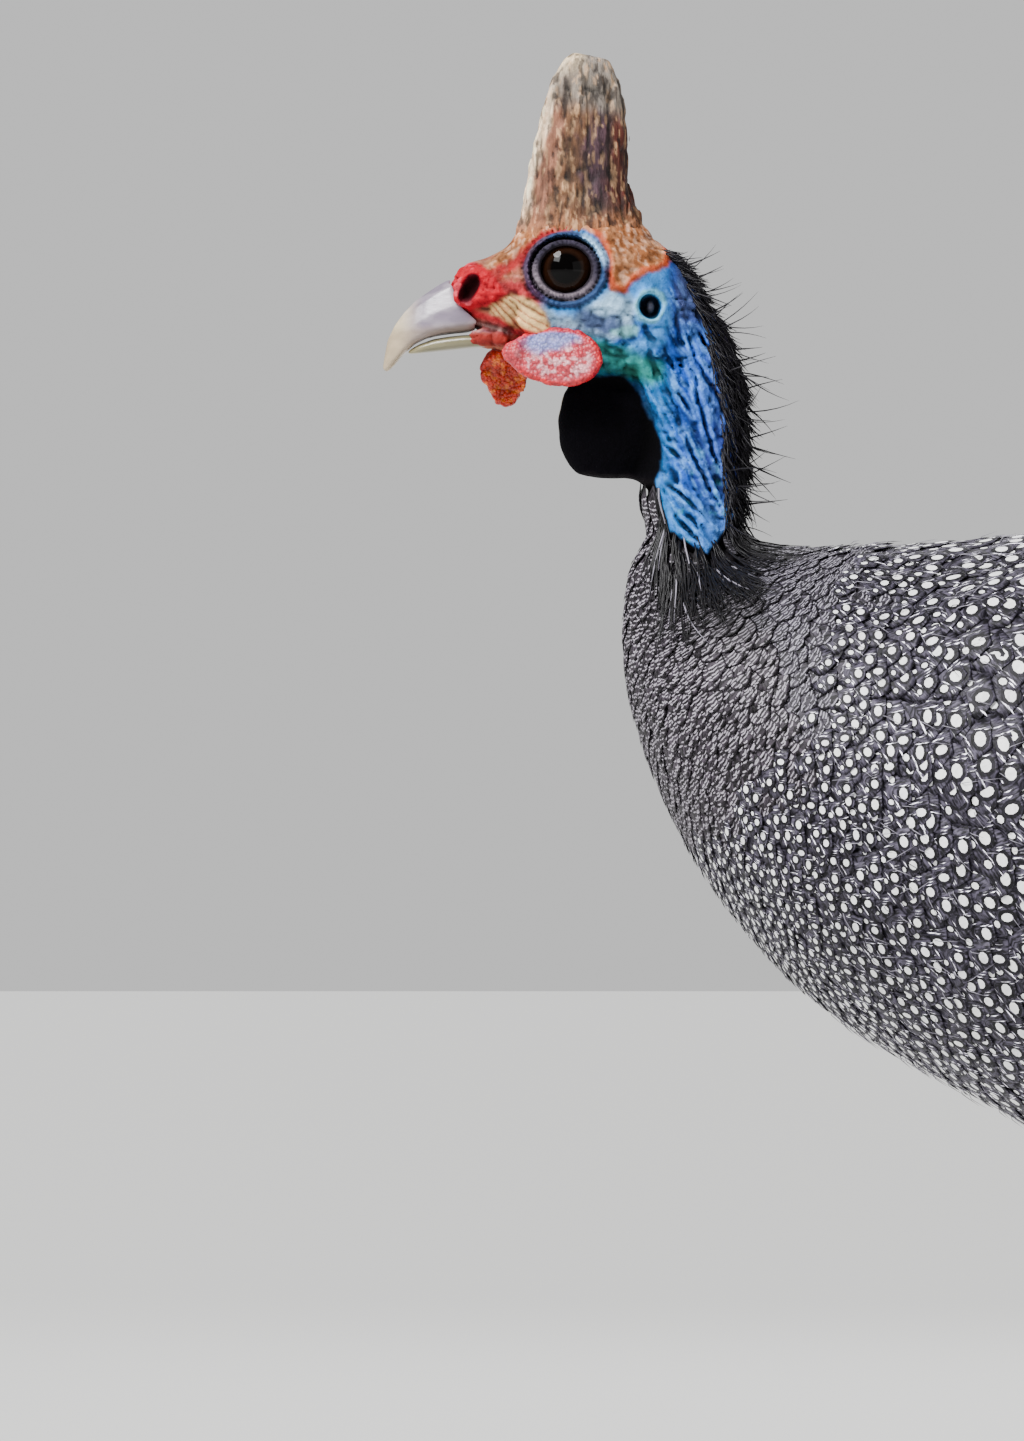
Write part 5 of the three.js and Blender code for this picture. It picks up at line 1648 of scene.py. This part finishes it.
thigh_coat = Coat("plumage_thigh", "plumage", plumage_material)
for side, ground in thighs.items():
    thigh_map = square(*ground.count, 0.5 if side == "left" else 0.75, 0.63, 0.24, 0.16)
    i, j, p, pitch = scattered(
        ground,
        lambda p, i, j: 3.4 + 2.6 * smooth(100, 150, p[..., 2]),
        lambda p, i, j: p[:, 2] > 93,
        count=8,
        seed=29,
    )
    pick = draw.integers(0, 6, len(i))
    for k, plan in enumerate(spotted):
        m = pick == k
        # Painted shade: the thigh feathers are drawn at 0.6 to 0.8 of their tone, as they lie under the
        # body
        thigh_coat.lay(
            ground, plan, i[m], j[m], pitch[m], 0.1 * draw.standard_normal(m.sum()), -1.4, 1.2, GREY,
            draw.uniform(0.6, 0.8, m.sum()), thigh_map, curl=0.02,
        )
thigh_coat.close()


# Hairs, strands and legs
def spikes(paths, thick, sides=3):
    """Tapered closed hairs along many paths of equal length in points"""
    paths = np.asarray(paths)
    count, steps, _ = paths.shape
    ahead = np.gradient(paths, axis=1)
    ahead /= np.linalg.norm(ahead, axis=2, keepdims=True)
    aside = np.cross(ahead, np.array([0.3, 0.9, 0.2]))
    aside /= np.linalg.norm(aside, axis=2, keepdims=True)
    over = np.cross(ahead, aside)
    taper = np.interp(np.linspace(0, 1, steps), [0, 0.3, 1], [0.8, 1, 0.12])[None, :, None, None]
    a = np.arange(sides) * 2 * math.pi / sides
    across, up = np.cos(a)[None, None, :, None], np.sin(a)[None, None, :, None]
    wheel = aside[:, :, None] * across + over[:, :, None] * up
    points = paths[:, :, None] + wheel * np.asarray(thick).reshape(-1, 1, 1, 1) * taper
    faces = []
    for s in range(steps - 1):
        for k in range(sides):
            p, q = s * sides + k, s * sides + (k + 1) % sides
            faces += [(p, q, q + sides), (p, q + sides, p + sides)]
    last = (steps - 1) * sides
    for k in range(1, sides - 1):
        faces += [(0, k + 1, k), (last, last + k, last + k + 1)]
    faces = np.array(faces)[None] + (np.arange(count) * steps * sides)[:, None, None]
    return points.reshape(-1, 3), faces.reshape(-1, 3)


nape_x, _, nape_z = head_points.T
nape_edge = np.interp(
    nape_z, [286, 300, 320, 340, 352, 358], [-136, -137.5, -138, -142, -147, -152]
)
nape_spots = head_points[(nape_x > nape_edge) & (nape_z < 357) & (nape_z > 289)]
draw = np.random.default_rng(41)
HAIRS = 2200
roots = nape_spots[draw.integers(0, len(nape_spots), HAIRS)]
t = np.linspace(0, 1, 6)
wisp = draw.random(HAIRS) < 0.035
height = roots[:, 2]
long = np.where(wisp, draw.uniform(9, 17, HAIRS), draw.uniform(4, 9, HAIRS))
long = long * np.interp(height, [288, 300, 345, 357], [0.5, 0.85, 0.8, 0.5])
lean = np.interp(height, [295, 320, 340, 356], [-80, -76, -62, -20]) + draw.uniform(-14, 14, HAIRS)
lean = np.radians(np.where(wisp, lean + draw.uniform(15, 95, HAIRS), lean))
spread = 0.09 * roots[:, 1] + 0.28 * draw.standard_normal(HAIRS)
out = np.stack([np.cos(lean), spread, np.sin(lean)], axis=1)
out /= np.linalg.norm(out, axis=1, keepdims=True)
curl = np.radians(draw.uniform(-35, 45, HAIRS))
paths = []
for k in range(HAIRS):
    a = lean[k] + curl[k] * t
    step = np.stack([np.cos(a), spread[k] * (1 - 0.5 * t), np.sin(a)], axis=1) * long[k] / 5
    paths.append(roots[k] - out[k] * 0.8 + np.vstack([np.zeros(3), np.cumsum(step[:-1], axis=0)]))
points, faces = spikes(paths, draw.uniform(0.16, 0.3, HAIRS))
hair = mesh_piece("nape_hairs", points, faces, hair_material)
paint_points(hair, one_colour("100d14", points))
corner_root = np.repeat(np.arange(HAIRS), faces.shape[0] // HAIRS * 3)
uv = hair.data.uv_layers.new(name="OFBake")
local = (points[faces.ravel()] - roots[corner_root]) / 40 + 0.5
place = np.stack([0.05 + 0.9 * (roots[:, 2] - 285) / 80, 0.5 + 0.4 * roots[:, 1] / 12], axis=1)
patches = place[corner_root] + PATCH * local[:, [2, 0]]
uv.data.foreach_set("uv", patches.astype(np.float32).ravel())
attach(hair, "root")

# Loose barbs over the coat: black streaks that hang from the end of the bare skin, fine pale ones elsewhere
draw = np.random.default_rng(43)
HUNG, LOOSE = 520, 2600  # black strands and loose barbs
hang = np.nonzero((x_root > -152) & (x_root < -134) & (z_root > 279))[0]
loose = np.nonzero(x_root > -112)[0]
at = np.concatenate([draw.choice(hang, HUNG), draw.choice(loose, LOOSE)])
count = len(at)
black = np.arange(count) < HUNG
long = np.where(black, draw.uniform(8, 19, count), draw.uniform(3, 6.5, count))
t = np.linspace(0, 1, 6)
at_i, at_j = root_i[at], root_j[at]
start_i = at_i[:, None] + draw.uniform(-1, 1, (count, 1))
run_i = start_i + long[:, None] * t / winged.mixed(winged.step_i, at_i, at_j)[:, None]
turned = np.where(black, 0.1, 0.55) * draw.standard_normal(count)
start_j = at_j[:, None] + draw.uniform(-1, 1, (count, 1))
run_j = start_j + (long * turned)[:, None] * t / winged.mixed(winged.step_j, at_i, at_j)[:, None]
height = np.where(black, 0.9, 0.95)[:, None] + 0.9 * t * draw.uniform(0, 1, (count, 1)) - 0.7 * (t == 0)
paths = winged.at(run_i, run_j, height)
thick = np.where(black, draw.uniform(0.2, 0.34, count), draw.uniform(0.08, 0.13, count))
points, faces = spikes(paths, thick)
strands = mesh_piece("coat_strands", points, faces, hair_material)
pale = np.where(black, draw.random(count) < 0.03, draw.random(count) < 0.7)
tone = np.where(pale[:, None], linear("8e8a96"), linear("0c0a0e"))
paint_points(strands, np.repeat(tone, len(points) // count, axis=0))
corner_root = np.repeat(np.arange(count), faces.shape[0] // count * 3)
uv = strands.data.uv_layers.new(name="OFBake")
place = np.stack(body_map(at_i, at_j), axis=1)
local = (points[faces.ravel()] - root_p[at][corner_root]) / 60 + 0.5
patches = place[corner_root] + PATCH * local[:, [0, 2]]
uv.data.foreach_set("uv", patches.astype(np.float32).ravel())
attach(strands, "root")

# Legs and claws
for side, y_side in SIDES:
    stride = y_side * STRIDE
    low, high = (np.array(v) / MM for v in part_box("leg_" + side))
    leg_clay = Clay(low - 3, high + 3, 0.7)
    leg_clay.d = blur(leg_clay.solid("leg_" + side) - 0.35, 1.2) + 0.3
    ankle, foot = np.array([20 + BODY_X + stride, 86]), np.array([-6 + BODY_X + stride, 6])
    down = (foot - ankle) / np.linalg.norm(foot - ankle)
    middle = np.array([-6 + BODY_X + stride, y_side * 34])

    def scutes(p):
        """Height of the plates down the shank and across the toes"""
        run = (p[:, 0] - ankle[0]) * down[0] + (p[:, 2] - ankle[1]) * down[1]
        front = (p[:, 0] - ankle[0]) * down[1] - (p[:, 2] - ankle[1]) * down[0]
        shank = smooth(9, 15, p[:, 2])
        row = np.mod(run / 5.2 + 0.5 * (p[:, 1] > y_side * 34), 1)
        h = shank * (0.55 * row - 0.9 * np.exp(-((row / 0.09) ** 2)) * 0.5)
        h *= smooth(-1.5, 1.5, front)
        h += shank * smooth(1.5, -1.5, front) * 0.35 * (ridged(p, 2.0, 91) - 0.5)
        reach = np.hypot(p[:, 0] - middle[0], p[:, 1] - middle[1])
        ring = np.mod(reach / 3.1, 1)
        toe = 0.4 * ring - 0.4 * np.exp(-((ring / 0.12) ** 2))
        h += (1 - shank) * smooth(2.0, 4.0, p[:, 2]) * toe
        return h - 0.1

    leg_clay.raise_by(scutes, band=2.4)
    cut = leg_clay.axes[2][None, None, :]
    leg_clay.d = np.maximum(leg_clay.d, (0.02 - cut).astype(np.float32))
    points, faces = leg_clay.skin()
    points[:, 2] = np.maximum(points[:, 2], 0)
    leg = mesh_piece("leg_skin_" + side, points, faces, scale_material)
    worn = smooth(0.5, 0.7, noise(points, 4, 93))
    paint_points(leg, blended(one_colour("4c4743", points), [(worn, "6e655c", 0.6)]))
    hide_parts("leg_" + side)
    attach(leg, "root")
    for toe in ("middle", "inner", "outer", "hind"):
        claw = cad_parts[f"claw_{toe}_{side}"]
        claw.data.materials.clear()
        claw.data.materials.append(claw_material)

# Bare head and neck, body and thighs as one mesh
all_points, all_tones, quads, triangles = [head_points], [head_tones], [head_quads], []
first = len(head_points)
for ground in (body, *thighs.values()):
    points, faces, caps = ground_skin(ground, DEPTH)
    quads.append(faces + first)
    triangles.append(caps + first)
    all_points.append(points)
    all_tones.append(one_colour("2b282c", points))
    first += len(points)
skin = mesh_piece(
    "skin",
    np.concatenate(all_points),
    np.concatenate(quads),
    skin_material,
    np.concatenate(triangles),
)
paint_points(skin, np.concatenate(all_tones))
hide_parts("head", "neck_upper", "neck_lower", "torso", "thigh_left", "thigh_right")
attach(skin, "root")
